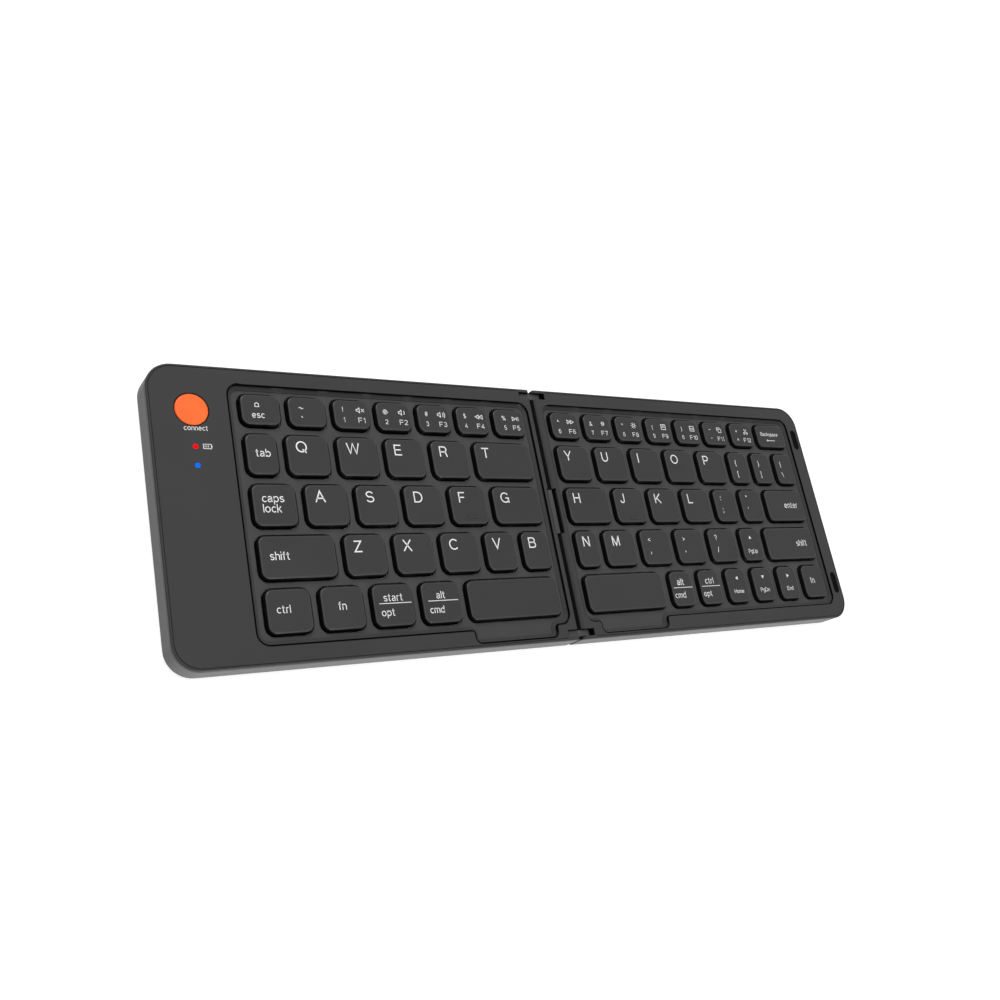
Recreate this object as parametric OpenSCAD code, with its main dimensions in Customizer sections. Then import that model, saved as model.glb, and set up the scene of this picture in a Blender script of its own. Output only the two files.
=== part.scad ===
// Folding keyboard in two equal halves, joined by a double-axis hinge of two end links.
// X runs along the keyboard with the seam at 0, Y runs from the user to the rear, Z is up.
// The origin is on the table, under the middle of the open keyboard.

/* [Case] */
// Length of the open keyboard
body_l = 300; // [298:1:330]
// Depth from the front edge to the rear edge
body_d = 100; // [99.6:0.2:112]
// Height of the closed case, from the underside of a base to the top of its deck
case_h = 10; // [9.8:0.1:12]
// Radius of the four outer corners
corner_r = 9; // [7:0.5:10]
// Radius of the corners beside the seam
seam_r = 1; // [0.9:0.1:1.5]
// Thickness of the deck, which is also the depth of the key wells
deck_t = 1.6; // [1.4:0.1:1.8]
// Thickness of the base walls
wall = 1.8; // [1.5:0.1:2]
// Thickness of the base floor
floor_t = 1.4; // [1.2:0.1:1.6]
// Rounding of the bottom edge of a base
base_edge = 0.8; // [0.3:0.1:0.9]
// Chamfer round the top edge of a deck
deck_edge = 0.3; // [0.1:0.05:0.4]
// Distance of the fine groove from the edge of a deck
groove_in = 0.75; // [0.6:0.05:1]
// Width of the fine groove
groove_w = 0.25; // [0.15:0.05:0.4]
// Depth of the fine groove
groove_h = 0.4; // [0.2:0.05:0.6]

/* [Keys] */
// Distance from the middle of the seam to the nearest keys
seam_to_keys = 6.75; // [6.5:0.05:7.2]
// Width of the rim at the left end, which holds the connect button
panel_w = 26.65; // [25:0.05:29]
// Width of the rim at the right end, which holds the magnet pads
rim_w = 7.05; // [6.5:0.05:9]
// Distance from the front edge of the case to the front row of keys
front_to_keys = 9.9; // [9.6:0.1:10.4]
// Distance from the rear edge of the case to the number row
rear_to_keys = 9.4; // [9:0.1:11]
// Gap between the tops of neighbouring rows
row_gap = 3.55; // [3.3:0.05:3.8]
// Depth of a key of the number row
number_d = 10.5; // [10:0.1:11]
// Gap between the tops of neighbouring keys
key_gap = 3.6; // [3.3:0.05:3.8]
// Gap in the number row
number_gap = 3.25; // [3:0.05:3.5]
// Gap in the right home row
home_gap = 3.3; // [3:0.05:3.5]
// Gap in the right front row
arrow_gap = 4.4; // [4:0.05:4.6]
// Width of a letter key on the left. Each row shares out its length by the widths of its keys
left_letter_w = 14.85; // [14:0.05:15.5]
// Width of a letter key on the right
right_letter_w = 15; // [14:0.05:15.5]
// Width of a key of the number row
number_w = 13.2; // [12.5:0.05:14]
// Width of the tab key
tab_w = 10.45; // [9.5:0.05:12]
// Width of the T key
t_w = 24.85; // [22:0.05:27]
// Width of the caps lock key
caps_w = 14.65; // [13:0.05:16]
// Width of the G key
g_w = 20.65; // [18:0.05:22]
// Width of the left shift key
left_shift_w = 26; // [24:0.1:28]
// Width of the V key
v_w = 12.4; // [11:0.1:13]
// Width of the B key
b_w = 11.75; // [10.5:0.05:13]
// Width of the left space bar
left_space_w = 38.9; // [35:0.1:42]
// Width of the backspace key
backspace_w = 17.7; // [16:0.1:19]
// Width of the slash key with the vertical bar
slash_w = 11.05; // [10:0.05:12]
// Width of the H key
h_w = 20; // [18:0.1:22]
// Width of the enter key
enter_w = 23.25; // [21:0.05:25]
// Width of the N key
n_w = 9.9; // [9:0.1:11]
// Width of the right shift key
right_shift_w = 29.85; // [27:0.05:32]
// Width of the bracket keys
bracket_w = 10.8; // [10:0.1:11.5]
// Width of the semicolon and quote keys
quote_w = 12.4; // [12:0.1:13]
// Width of the up arrow key
up_w = 11.5; // [11:0.1:12]
// Width of the right space bar
right_space_w = 38.1; // [37:0.1:39]
// Width of the small keys of the right front row
arrow_w = 11.1; // [10:0.1:12]
// Width of the right function key
right_fn_w = 12.85; // [12:0.05:14]
// Height of a key
key_h = 2.3; // [2.1:0.1:2.5]
// Height of the key tops above the deck
key_proud = 0.1; // [0:0.05:0.3]
// Travel of a key
key_travel = 1.5; // [1.2:0.1:1.7]
// Radius of the corners of a key top
key_r = 2.5; // [1.5:0.1:3]
// Width that the flank of a key gains towards its foot
key_flare = 0.6; // [0.3:0.05:0.7]
// Thickness of the top of a key
key_top_t = 0.8; // [0.6:0.05:1]
// Thickness of the side wall of a key
key_wall = 0.9; // [0.7:0.05:1]
// Gap round a key in its opening of the web
key_clear = 0.35; // [0.25:0.05:0.4]

/* [Well] */
// Distance from the keys to the rim of the well
well_gap = 3.35; // [3.2:0.05:3.6]
// Distance from the keys to the outer rim of the left well
left_well_gap = 3.9; // [3.4:0.1:5]
// Distance from the keys to the rim of the well beside the seam
seam_well_gap = 3.1; // [2.9:0.05:3.3]
// Radius of the corners of the well
well_r = 4; // [3:0.5:5]
// Upright part of the wall of the well, below the rim
rim_drop = 0.8; // [0.5:0.05:1]
// Distance that the wall of the well sweeps in from its upright part to the floor
well_slope = 1.4; // [1:0.05:1.5]
// Thickness of the lip where the sweep ends on the key web
sweep_lip = 0.2; // [0.15:0.05:0.3]
// Ledge of the key web under the deck
web_lap = 1.2; // [0.8:0.05:1.3]
// Thickness of the key web
web_t = 1; // [0.8:0.05:1.1]
// Width of the ribs under the key web
web_rib = 0.9; // [0.6:0.05:1.2]
// Rim left in front of the space bar notch
notch_rim = 1.9; // [1.85:0.05:2.2]
// Distance from the seam to the near end of a notch
notch_start = 10.6; // [10.2:0.1:12]
// Length of the left notch
left_notch_l = 34.6; // [30:0.1:36]
// Length of the right notch
right_notch_l = 32.8; // [30:0.1:35]
// Radius of the two front corners of a notch
notch_r = 2; // [1.7:0.1:2.2]
// Radius of the turn from the front line of the well into a notch
notch_turn = 1.5; // [1:0.1:1.8]
// Chamfer of the rim of the well
rim_round = 0.15; // [0.1:0.05:0.3]

/* [Hinge] */
// Depth of the hinge axes below the deck
pivot_drop = 3.1; // [2.9:0.1:3.3]
// Gap between the two decks when folded shut
closed_gap = 1.2; // [1:0.1:1.6]
// Gap from the middle of the seam to each half, below the hinge axis
seam_gap = 0.25; // [0.2:0.05:0.35]
// Gap from the middle of the seam to the round flank of each half
flank_gap = 0.115; // [0.1:0.005:0.15]
// Radius of the round ends of a hinge link
link_r = 1.8; // [1.6:0.05:1.9]
// Thickness of a hinge link
link_t = 2.3; // [2:0.05:2.4]
// Gap on each side of a hinge link
link_side = 0.2; // [0.15:0.05:0.3]
// Room round the end and under a hinge link
link_room = 0.6; // [0.4:0.05:0.8]
// Thickness of the outer cheek beside a link
cheek_out = 1.22; // [1.1:0.02:1.4]
// Thickness of the inner cheek beside a link
cheek_in = 2.07; // [1.8:0.01:2.2]
// Diameter of a hinge pin
pin_d = 1.6; // [1.2:0.05:1.8]
// Radial clearance of a pin in its link
pin_fit = 0.02; // [0.01:0.005:0.03]
// Radial clearance of a pin in the cheeks
cheek_fit = 0.05; // [0.03:0.01:0.08]
// Cover left outside the end of a pin
pin_cover = 0.6; // [0.4:0.05:0.8]
// Length of the cable guide in the middle of the seam
guide_l = 17.4; // [15:0.2:18]
// Width of the bar of the cable guide
guide_w = 2; // [1.6:0.1:2.1]
// Thickness of the bar of the cable guide
guide_t = 1.4; // [1:0.1:1.5]
// Depth of the cable guide below the deck
guide_drop = 1.2; // [1.1:0.1:1.3]
// Distance of the window flank from the middle of the seam
window_x = 2.2; // [2.1:0.05:2.3]

/* [Inside] */
// Thickness of the support plate
plate_t = 0.6; // [0.4:0.05:0.7]
// Thickness of the switch membrane
membrane_t = 0.3; // [0.2:0.05:0.4]
// Clearance between a pressed key and the membrane
press_room = 0.2; // [0.15:0.05:0.3]
// Radius of the foot of a rubber dome
dome_r = 2.9; // [2.5:0.1:3]
// Thickness of the scissor arms
arm_t = 0.55; // [0.4:0.05:0.6]
// Length of the battery
battery_l = 60; // [50:1:64]
// Length of the battery lead
lead_l = 9.5; // [6:0.5:12]
// Thickness of the battery
battery_t = 3.2; // [2.6:0.1:3.4]
// Room between the circuit board and the magnets
board_room = 3.1; // [1:0.1:4]
// Length of the circuit board
board_l = 76; // [70:1:80]
// Thickness of the circuit board
board_t = 0.8; // [0.6:0.1:1]
// Width of the flex cable between the halves
flex_w = 12; // [8:0.5:13]
// Thickness of the flex cable
flex_t = 0.12; // [0.1:0.01:0.2]
// Width of the charge socket
socket_w = 9; // [8.6:0.1:9.4]
// Height of the charge socket
socket_h = 3.2; // [3:0.1:3.4]
// Length of the charge socket
socket_l = 7.3; // [6.5:0.1:8]

/* [Fittings] */
// Height of the rubber feet
foot_h = 0.8; // [0.5:0.1:1.5]
// Diameter of the rubber feet
foot_d = 8; // [6:0.5:10]
// Distance of the feet from the ends of the keyboard
foot_end = 12; // [8:0.5:20]
// Distance of the feet from the seam
foot_seam = 14; // [10:0.5:20]
// Distance of the feet from the front and rear edges
foot_edge = 10; // [6:0.5:20]
// Distance of the button and the lights from the left end
button_end = 14; // [12.5:0.1:15]
// Distance of the button from the rear edge
button_rear = 15.8; // [14:0.1:18]
// Distance from the button to the battery light
battery_light = 12.7; // [11:0.1:14]
// Distance from the button to the wireless light
wireless_light = 19.1; // [17:0.1:21]
// Distance of the charge socket from the left end
socket_end = 19; // [17:0.5:20.5]
// Distance of the magnets from the front and rear edges
magnet_edge = 15.8; // [14:0.1:20]
// Depth of the magnet pads below the deck
pad_drop = 0.4; // [0.1:0.05:0.5]
// Diameter of the round connect button
button_d = 10.85; // [9:0.05:12]
// Travel of the connect button
button_travel = 0.5; // [0.3:0.05:0.55]
// Diameter of a status light
light_d = 1.5; // [1:0.1:2]
// Diameter of a screw shank
screw_d = 1.6; // [1.4:0.1:1.8]
// Diameter of a screw head
screw_head_d = 3; // [2.8:0.1:3.2]
// Length of a magnet
magnet_l = 9.4; // [8:0.1:10]
// Width of a magnet
magnet_w = 3.3; // [2.8:0.05:3.4]

/* [Hidden] */
$fn = 32;

// Levels, from the table up
z_base = foot_h;
z_floor = z_base + floor_t;
z_top = z_base + case_h;
z_deck = z_top - deck_t;
z_web = z_deck - web_t;
z_key_top = z_top + key_proud;
z_key = z_key_top - key_h;
z_ceiling = z_key_top - key_top_t;
z_membrane_top = z_key - key_travel - press_room;
z_membrane = z_membrane_top - membrane_t;
z_plate = z_membrane - plate_t;
z_pivot = z_top - pivot_drop;

// Plan of a half, where u is the distance from the seam
half_l = body_l / 2;
rear = body_d / 2;
row_front = front_to_keys - rear;
keys_rear = rear - rear_to_keys;
row_pitch = (keys_rear - number_d - row_front) / 4;
key_d = row_pitch - row_gap;
left_well_end = half_l - panel_w;
right_well_end = half_l - rim_w;
left_keys_end = left_well_end - left_well_gap;
right_keys_end = right_well_end - well_gap;
left_row_l = left_keys_end - seam_to_keys;
right_row_l = right_keys_end - seam_to_keys;
well_start = seam_to_keys - seam_well_gap;
well_front = row_front - well_gap;
well_rear = keys_rear + well_gap;
web_in = well_slope - web_lap;
lap_gap = 0.2;
seam_wall = 2.55;
inner_start = seam_gap + seam_wall;

// Hinge
pivot_x = pivot_drop + closed_gap / 2;
flank_r = pivot_x - flank_gap;
pocket_end = pivot_x + link_r + link_room;
pocket_floor = z_pivot - link_r - link_room;
pocket_out = rear - cheek_out;
link_out = pocket_out - link_side;
link_in = link_out - link_t;
pocket_in = link_in - link_side;
block_in = pocket_in - cheek_in;
block_wall = 1.2;
window_y = guide_l / 2 + 0.3;
window_z = z_pivot - 1.3;
guide_z = z_top - guide_drop - guide_t;

// Posts, bosses and screws, as places on a half
post_r = 1.9;
boss_r = 2.3;
boss_h = 3;
post_z = z_floor + boss_h;
post_side = 5.5;
post_gap = 0.2;
seam_post_x = pocket_end + 9.9;
front_post_x = notch_start + max(left_notch_l, right_notch_l) + 4.8;
head_t = 1;
head_depth = 1.2;
screw_l = 6;
screw_places = [
    [half_l - post_side, rear - post_side],
    [half_l - post_side, post_side - rear],
    [seam_post_x, rear - wall - post_r - post_gap],
    [front_post_x, post_r + wall + post_gap - rear]];
foot_places = [for (x = [foot_seam, half_l - foot_end], y = [-1, 1]) [x, y * (rear - foot_edge)]];
lid_gap = 0.1;
magnet_x = half_l - wall - lid_gap - magnet_w / 2;
magnet_y = rear - magnet_edge;
pad_t = 2.4;
magnet_t = 2;

// Circuit board and what stands on it
board_end = left_well_end + 1.15;
board_w = magnet_x - magnet_w / 2 - board_room - board_end - 0.2;
board_mid = board_end + board_w / 2;
board_rear = rear - wall - 0.6;
z_board = z_floor + 0.4;
z_board_top = z_board + board_t;
button_x = half_l - button_end;
button_y = rear - button_rear;
button_fit = 0.15;
button_flange_r = button_d / 2 + 0.8;
button_flange_t = 0.6;
light_y = [button_y - battery_light, button_y - wireless_light];
light_fit = 0.1;
switch_w = 6;
switch_top = z_deck - 1.9 - button_travel - lid_gap;
socket_x = half_l - socket_end;
z_flex = z_board_top + 0.05;
flex_bend = 2;
flex_rise = pocket_end + 7.6;
connector_w = 2.6;
connector_h = 1.2;
tail_w = 10;
tail_y = rear - 32;
// Chips on the board as [distance from its middle, distance from its rear end, width, length]
chips = [[-2.5, 42.6, 7, 7], [-1.5, 53.6, 5, 6], [-3, 36.6, 3, 2], [3, 64.6, 5, 3]];
rib_t = 1.2;
rib_gap = 0.6;
plate_in = web_in + lap_gap;
plate_front = well_front + plate_in;
plate_rear = well_rear - plate_in;
plate_hole_d = 3;
battery_x = board_end - lead_l - battery_l;
battery_front = plate_front + rib_t + 0.4;
battery_rear = -flex_w / 2 - 3.45;
battery_y = (battery_front + battery_rear) / 2;
battery_w = battery_rear - battery_front;
lead_w = 4;
// Ribs under the plate, the middle pair clear of the flex cable
flex_rib_y = flex_w / 2 + 3.5;
rear_rib_y = plate_rear - rib_t;
rib_places = [plate_front, battery_rear + rib_gap, flex_rib_y, (flex_rib_y + rear_rib_y) / 2, rear_rib_y];

// Key rows: step above the front row, gap, and keys as [name, width]
lw = left_letter_w;
rw = right_letter_w;
left_rows = [
    [4, number_gap, [for (name = ["esc", "grave", "1", "2", "3", "4", "5"]) [name, number_w]]],
    [3, key_gap, [["tab", tab_w], ["q", lw], ["w", lw], ["e", lw], ["r", lw], ["t", t_w]]],
    [2, key_gap, [["caps", caps_w], ["a", lw], ["s", lw], ["d", lw], ["f", lw], ["g", g_w]]],
    [1, key_gap, [["shift", left_shift_w], ["z", lw], ["x", lw], ["c", lw], ["v", v_w], ["b", b_w]]],
    [0, key_gap, [["ctrl", lw], ["fn", lw], ["start", lw], ["alt", lw], ["space", left_space_w]]]];
right_rows = [
    [4, number_gap, concat([for (name = ["6", "7", "8", "9", "0", "minus", "equals"])
        [name, number_w]], [["back", backspace_w]])],
    [3, key_gap, [["y", rw], ["u", rw], ["i", rw], ["o", rw], ["p", rw], ["open", bracket_w],
        ["close", bracket_w], ["slash", slash_w]]],
    [2, home_gap, [["h", h_w], ["j", rw], ["k", rw], ["l", rw], ["semicolon", quote_w],
        ["quote", quote_w], ["enter", enter_w]]],
    [1, key_gap, [["n", n_w], ["m", rw], ["comma", rw], ["stop", rw], ["query", rw],
        ["up", up_w], ["shift", right_shift_w]]],
    [0, arrow_gap, [["space", right_space_w], ["alt", arrow_w], ["ctrl", arrow_w],
        ["left", arrow_w], ["down", arrow_w], ["right", arrow_w], ["fn", right_fn_w]]]];

function total(list, n) = n <= 0 ? 0 : list[n - 1] + total(list, n - 1);
// The keys of one row as [name, x_min, x_max, y_min, y_max] of their tops
function row_keys(row, start, length) = let (
    gap = row[1],
    count = len(row[2]),
    given = [for (key = row[2]) key[1]],
    share = (length - gap * (count - 1)) / total(given, count),
    widths = share * given,
    y = row_front + row[0] * row_pitch,
    depth = row[0] == 4 ? number_d : key_d)
    [for (i = [0:count - 1]) let (x = start + total(widths, i) + gap * i)
        [row[2][i][0], x, x + widths[i], y, y + depth]];
left_keys = [for (row = left_rows) for (key = row_keys(row, -left_keys_end, left_row_l)) key];
right_keys = [for (row = right_rows) for (key = row_keys(row, seam_to_keys, right_row_l)) key];

letters = "abcdefghijklmnopqrstuvwxyz";
function is_letter(name) = len(name) == 1 && len(search(name, letters)) > 0;
function keys_named(keys, name) = [for (key = keys) if (key[0] == name) key];
function command_keys(keys, row_min) = [for (key = keys)
    if (!is_letter(key[0]) && key[0] != "space" && key[3] >= row_min) key];
number_row_y = row_front + 3.5 * row_pitch;
right_number_row = command_keys(right_keys, number_row_y);
right_commands = [for (key = command_keys(right_keys, row_front - 1)) if (key[3] < number_row_y) key];

// Points on an arc, and a rectangle with its own corner radius at each end
function arc_points(x, y, r, from, n) = [for (i = [0:n]) let (a = from + 90 * i / n)
    [x + r * cos(a), y + r * sin(a)]];
function round_rect(x0, x1, y0, y1, r0, r1, n) = concat(
    arc_points(x1 - r1, y0 + r1, r1, -90, n),
    arc_points(x1 - r1, y1 - r1, r1, 0, n),
    arc_points(x0 + r0, y1 - r0, r0, 90, n),
    arc_points(x0 + r0, y0 + r0, r0, 180, n));
function reversed(points) = [for (i = [len(points) - 1:-1:0]) points[i]];
function half_outline(inset) = round_rect(seam_gap + inset, half_l - inset, inset - rear,
    rear - inset, seam_r - inset, corner_r - inset, 10);
// Well with the notch in front of the space bar, whose ends turn in an S
function well_outline(end, notch_l, inset) = let (
    notch_end = notch_start + notch_l,
    notch_y = notch_rim - rear + notch_r,
    turn_y = well_front - notch_turn,
    turn = notch_turn + inset)
    concat(
        arc_points(end - well_r, well_front + well_r, well_r - inset, -90, 6),
        arc_points(end - well_r, well_rear - well_r, well_r - inset, 0, 6),
        arc_points(well_start + well_r, well_rear - well_r, well_r - inset, 90, 6),
        arc_points(well_start + well_r, well_front + well_r, well_r - inset, 180, 6),
        reversed(arc_points(notch_start - notch_turn, turn_y, turn, 0, 4)),
        arc_points(notch_start + notch_r, notch_y, notch_r - inset, 180, 4),
        arc_points(notch_end - notch_r, notch_y, notch_r - inset, -90, 4),
        reversed(arc_points(notch_end + notch_turn, turn_y, turn, 90, 4)));
function key_outline(key, grow) = round_rect(key[1] - grow, key[2] + grow, key[3] - grow,
    key[4] + grow, key_r + grow, key_r + grow, 3);

// Solid through rings of points, one ring at each height from the bottom up
module loft(rings, heights) {
    n = len(rings[0]);
    m = len(rings);
    points = [for (j = [0:m - 1]) for (p = rings[j]) [p[0], p[1], heights[j]]];
    sides = [for (j = [0:m - 2]) for (i = [0:n - 1]) let (k = (i + 1) % n)
        [j * n + i, (j + 1) * n + i, (j + 1) * n + k, j * n + k]];
    faces = concat([[for (i = [0:n - 1]) i]], sides, [[for (i = [n - 1:-1:0]) (m - 1) * n + i]]);
    polyhedron(points, faces);
}

// The right half is drawn as it lies, the left half is its mirror image
module on_side(side) {
    if (side == "left") mirror([1, 0, 0]) children();
    else children();
}

module slot_2d(width, length) {
    square([width, length - width], center = true);
    for (end = [-1, 1]) translate([0, end * (length - width) / 2]) circle(d = width);
}

// Extrudes a shape of the XZ plane along Y, between two distances from the middle
module along_y(y0, y1) {
    translate([0, y1, 0]) rotate([90, 0, 0]) linear_extrude(y1 - y0) children();
}

// What the round flank beside the seam leaves away above the hinge axis
module flank_cut() {
    along_y(-rear - 1, rear + 1) difference() {
        translate([-1, z_pivot]) square([pivot_x + 1, pivot_drop + 1]);
        translate([pivot_x, z_pivot]) circle(r = flank_r, $fn = 96);
    }
}

// Room for the two end links, open at the top and at the seam
module link_pockets() {
    for (y = [pocket_in, -pocket_out])
        translate([-1, y, pocket_floor])
            cube([pocket_end + 1, pocket_out - pocket_in, z_top]);
}

module seam_window() {
    translate([-1, -window_y, window_z]) cube([window_x + 1, 2 * window_y, z_top]);
}

module base_ribs(well_end) {
    for (y = rib_places) translate([inner_start - 0.1, y, z_floor - 0.1])
        cube([well_end - inner_start - 1, rib_t, z_plate - z_floor + 0.1]);
}

// Outer shell of a base, with its screw bosses, hinge blocks and plate ribs
module base(side, well_end) {
    on_side(side) difference() {
        union() {
            difference() {
                loft([half_outline(base_edge), half_outline(base_edge * 0.3),
                    half_outline(0), half_outline(0)],
                    [z_base, z_base + base_edge * 0.3, z_base + base_edge, z_deck]);
                translate([0, 0, z_floor]) linear_extrude(z_top)
                    polygon(round_rect(inner_start, half_l - wall, wall - rear, rear - wall,
                        0.5, corner_r - wall, 10));
            }
            base_ribs(well_end);
            for (place = screw_places) translate([place[0], place[1], z_floor - 0.1])
                cylinder(r = boss_r, h = post_z - z_floor + 0.1);
            for (y = [block_in, -rear + 0.5])
                translate([inner_start - 0.5, y, z_floor - 0.1])
                    cube([pocket_end + block_wall - inner_start + 0.5, rear - block_in - 0.5,
                        z_deck - z_floor + 0.1]);
            if (side == "left") {
                for (y = [-magnet_y, magnet_y])
                    magnet_shelf(y, z_deck - lid_gap - magnet_t);
                for (y = [board_rear - 9, board_rear - board_l + 4 * rib_t])
                    translate([board_end, y, z_floor - 0.1]) cube([board_w, rib_t, z_board - z_floor + 0.1]);
            } else {
                for (y = [-magnet_y, magnet_y]) magnet_shelf(y, z_top - pad_t);
            }
        }
        flank_cut();
        link_pockets();
        seam_window();
        for (y = [-rear + pin_cover - 0.1, block_in - 1])
            translate([pivot_x, y, z_pivot]) rotate([-90, 0, 0])
                cylinder(d = pin_d + 2 * cheek_fit, h = rear - pin_cover + 0.1 - block_in + 1);
        for (place = screw_places) translate([place[0], place[1], z_base]) {
            translate([0, 0, -0.1]) cylinder(d = screw_head_d + 0.3, h = head_depth + 0.1);
            cylinder(d = screw_d + 0.2, h = post_z);
        }
        translate([-0.1, -flex_w / 2 - 1, z_flex - 0.45])
            cube([inner_start + 1, flex_w + 2, flex_t + 0.9]);
        if (side == "left") translate([socket_x, rear + 1, z_board_top + socket_h / 2])
            rotate([90, 90, 0]) linear_extrude(wall + 2) slot_2d(socket_h + 0.4, socket_w + 0.4);
    }
}

module magnet_shelf(y, top) {
    width = magnet_w + 0.4;
    translate([half_l - wall - width + 0.1, y - magnet_l / 2 - 0.3, z_floor - 0.1])
        cube([width, magnet_l + 0.6, top - z_floor + 0.1]);
}

// Deck with its well, notch, screw posts and locating lips
module deck(side, well_end, notch_l) {
    lip_t = 0.8;
    lip_h = 1.2;
    lip_out = rear - wall - lid_gap;
    on_side(side) difference() {
        union() {
            loft([half_outline(0), half_outline(0), half_outline(deck_edge)],
                [z_deck, z_top - deck_edge, z_top]);
            for (place = screw_places) translate([place[0], place[1], post_z])
                cylinder(r = post_r, h = z_deck - post_z + 0.1);
            translate([seam_post_x + 5, lip_out - lip_t, z_deck - lip_h])
                cube([half_l - seam_post_x - 30, lip_t, lip_h + 0.1]);
            translate([front_post_x + 5, -lip_out, z_deck - lip_h])
                cube([half_l - front_post_x - 30, lip_t, lip_h + 0.1]);
            translate([half_l - wall - lid_gap - lip_t, -20, z_deck - lip_h])
                cube([lip_t, 40, lip_h + 0.1]);
        }
        well_cut(well_end, notch_l);
        flank_cut();
        link_pockets();
        seam_window();
        deck_groove();
        for (place = screw_places) translate([place[0], place[1], post_z - 0.1])
            cylinder(d = screw_d + 0.1, h = z_top - 0.7 - post_z);
        if (side == "left") {
            translate([button_x, button_y, z_deck - 1]) cylinder(d = button_d + 2 * button_fit, h = 5);
            for (y = light_y) translate([button_x, y, z_deck - 1])
                cylinder(d = light_d + 2 * light_fit, h = 5);
        } else {
            for (y = [-magnet_y, magnet_y]) translate([magnet_x, y, z_deck - 1])
                linear_extrude(5) slot_2d(magnet_w + 0.2, magnet_l + 0.2);
        }
    }
}

// Room of the well: a chamfered rim, an upright wall, and a hollow sweep down to the floor
module well_cut(well_end, notch_l) {
    sweep = [for (a = [90:-30:0]) a];
    sweep_h = deck_t - rim_drop - sweep_lip;
    insets = concat([well_slope], [for (a = sweep) well_slope * (1 - cos(a))], [0, -rim_round]);
    heights = concat([z_deck - 0.1], [for (a = sweep) z_top - rim_drop - sweep_h * sin(a)],
        [z_top - rim_round, z_top + 0.01]);
    loft([for (inset = insets) well_outline(well_end, notch_l, inset)], heights);
}

// Fine groove just inside the outer edge of a deck
module deck_groove() {
    translate([0, 0, z_top - groove_h]) linear_extrude(1) difference() {
        polygon(half_outline(groove_in));
        polygon(half_outline(groove_in + groove_w));
        translate([-1, -rear]) square([pivot_x + 4, body_d]);
    }
}

// Web round the keys, which is the floor of the well, with ribs that stand on the membrane
module key_web(side, keys, well_end, notch_l) {
    edge = web_in;
    front = well_front + edge;
    rib_l = well_end - well_start - 2 * edge - 2 * well_r;
    difference() {
        union() {
            on_side(side) translate([0, 0, z_web]) linear_extrude(web_t)
                polygon(well_outline(well_end, notch_l, edge));
            for (i = [0:5]) {
                y = i == 0 ? front : i == 5 ? well_rear - edge - web_rib
                    : row_front + i * row_pitch - (row_pitch - key_d) / 2 - web_rib / 2;
                on_side(side) translate([well_start + well_r + edge, y, z_membrane_top])
                    cube([rib_l, web_rib, z_web - z_membrane_top + 0.1]);
            }
        }
        translate([0, 0, z_web - 0.1]) linear_extrude(web_t + 0.2)
            for (key = keys) polygon(key_outline(key, key_flare + key_clear));
    }
}

// Flat sheet under the keys: the steel plate or the membrane on it
module sheet(side, well_end, z, thickness) {
    on_side(side) translate([0, 0, z]) linear_extrude(thickness)
        polygon(round_rect(well_start + plate_in, well_end - plate_in, plate_front, plate_rear,
            well_r, well_r, 6));
}

module support_plate(side, well_end) {
    difference() {
        sheet(side, well_end, z_plate, plate_t);
        // Holes in the gaps between the rows, clear of the flex cable
        on_side(side) for (row = [1:4]) for (part = [0.25, 0.5, 0.75])
            translate([well_start + part * (well_end - well_start),
                row_front + row * row_pitch - row_gap / 2, z_plate - 0.1])
                cylinder(d = plate_hole_d, h = plate_t + 0.2);
        if (side == "right") translate([flex_rise - 1, -flex_w / 2 - 0.5, z_plate - 0.1])
            cube([2, flex_w + 1, plate_t + 0.2]);
    }
}

// Keycap, hollow underneath, with a bar on the two homing keys
module key_cap(key) {
    rim = 0.3;
    difference() {
        union() {
            loft([key_outline(key, key_flare), key_outline(key, 0), key_outline(key, -rim)],
                [z_key, z_key_top - rim, z_key_top]);
            if (key[0] == "f" || key[0] == "j")
                translate([(key[1] + key[2]) / 2 - 2, key[3] + 1.9, z_key_top - 0.2])
                    cube([4, 0.6, 0.4]);
        }
        translate([key[1] + key_wall, key[3] + key_wall, z_key - 0.1])
            cube([key[2] - key[1] - 2 * key_wall, key[4] - key[3] - 2 * key_wall,
                z_ceiling - z_key + 0.1]);
    }
}

// Rubber dome, hollow underneath, that lifts a key
module dome(key) {
    top = z_ceiling - 0.1 - z_membrane_top;
    translate([(key[1] + key[2]) / 2, (key[3] + key[4]) / 2, z_membrane_top])
        rotate_extrude() polygon([[dome_r - 0.6, 0], [dome_r, 0], [dome_r, 0.35],
            [dome_r - 0.5, 0.6], [1.5, top - 0.7], [1.5, top], [0, top], [0, top - 1.1],
            [1, top - 1.1], [dome_r - 1, 0.6]]);
}

// Crossed scissor arms of one key, with the rods that join the two sides
module scissor(x, key) {
    foot = z_membrane_top + 0.05;
    high = z_ceiling - 0.1;
    reach = min(4.6, (key[2] - key[1]) / 2 - key_wall - 0.5);
    y_mid = (key[3] + key[4]) / 2;
    y_arm = (key[4] - key[3]) / 2 - key_wall - 0.25 - arm_t;
    bar = 0.6;
    for (side = [-1, 1]) translate([0, side > 0 ? y_mid + y_arm : y_mid - y_arm - arm_t, 0])
        along_y(0, arm_t) translate([x, 0]) {
            polygon([[-reach, foot], [bar - reach, foot], [reach, high - bar], [reach, high],
                [reach - bar, high], [-reach, foot + bar]]);
            polygon([[reach, foot], [reach, foot + bar], [bar - reach, high], [-reach, high],
                [-reach, high - bar], [reach - bar, foot]]);
        }
    for (end = [-reach, reach - bar]) for (z = [foot, high - bar])
        translate([x + end, y_mid - y_arm - arm_t, z])
            cube([bar, 2 * y_arm + 2 * arm_t, bar]);
}

module scissors(keys) {
    for (key = keys) {
        width = key[2] - key[1];
        x_mid = (key[1] + key[2]) / 2;
        if (width > 30) for (end = [-1, 1]) scissor(x_mid + end * width / 4, key);
        else scissor(x_mid, key);
    }
}

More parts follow.
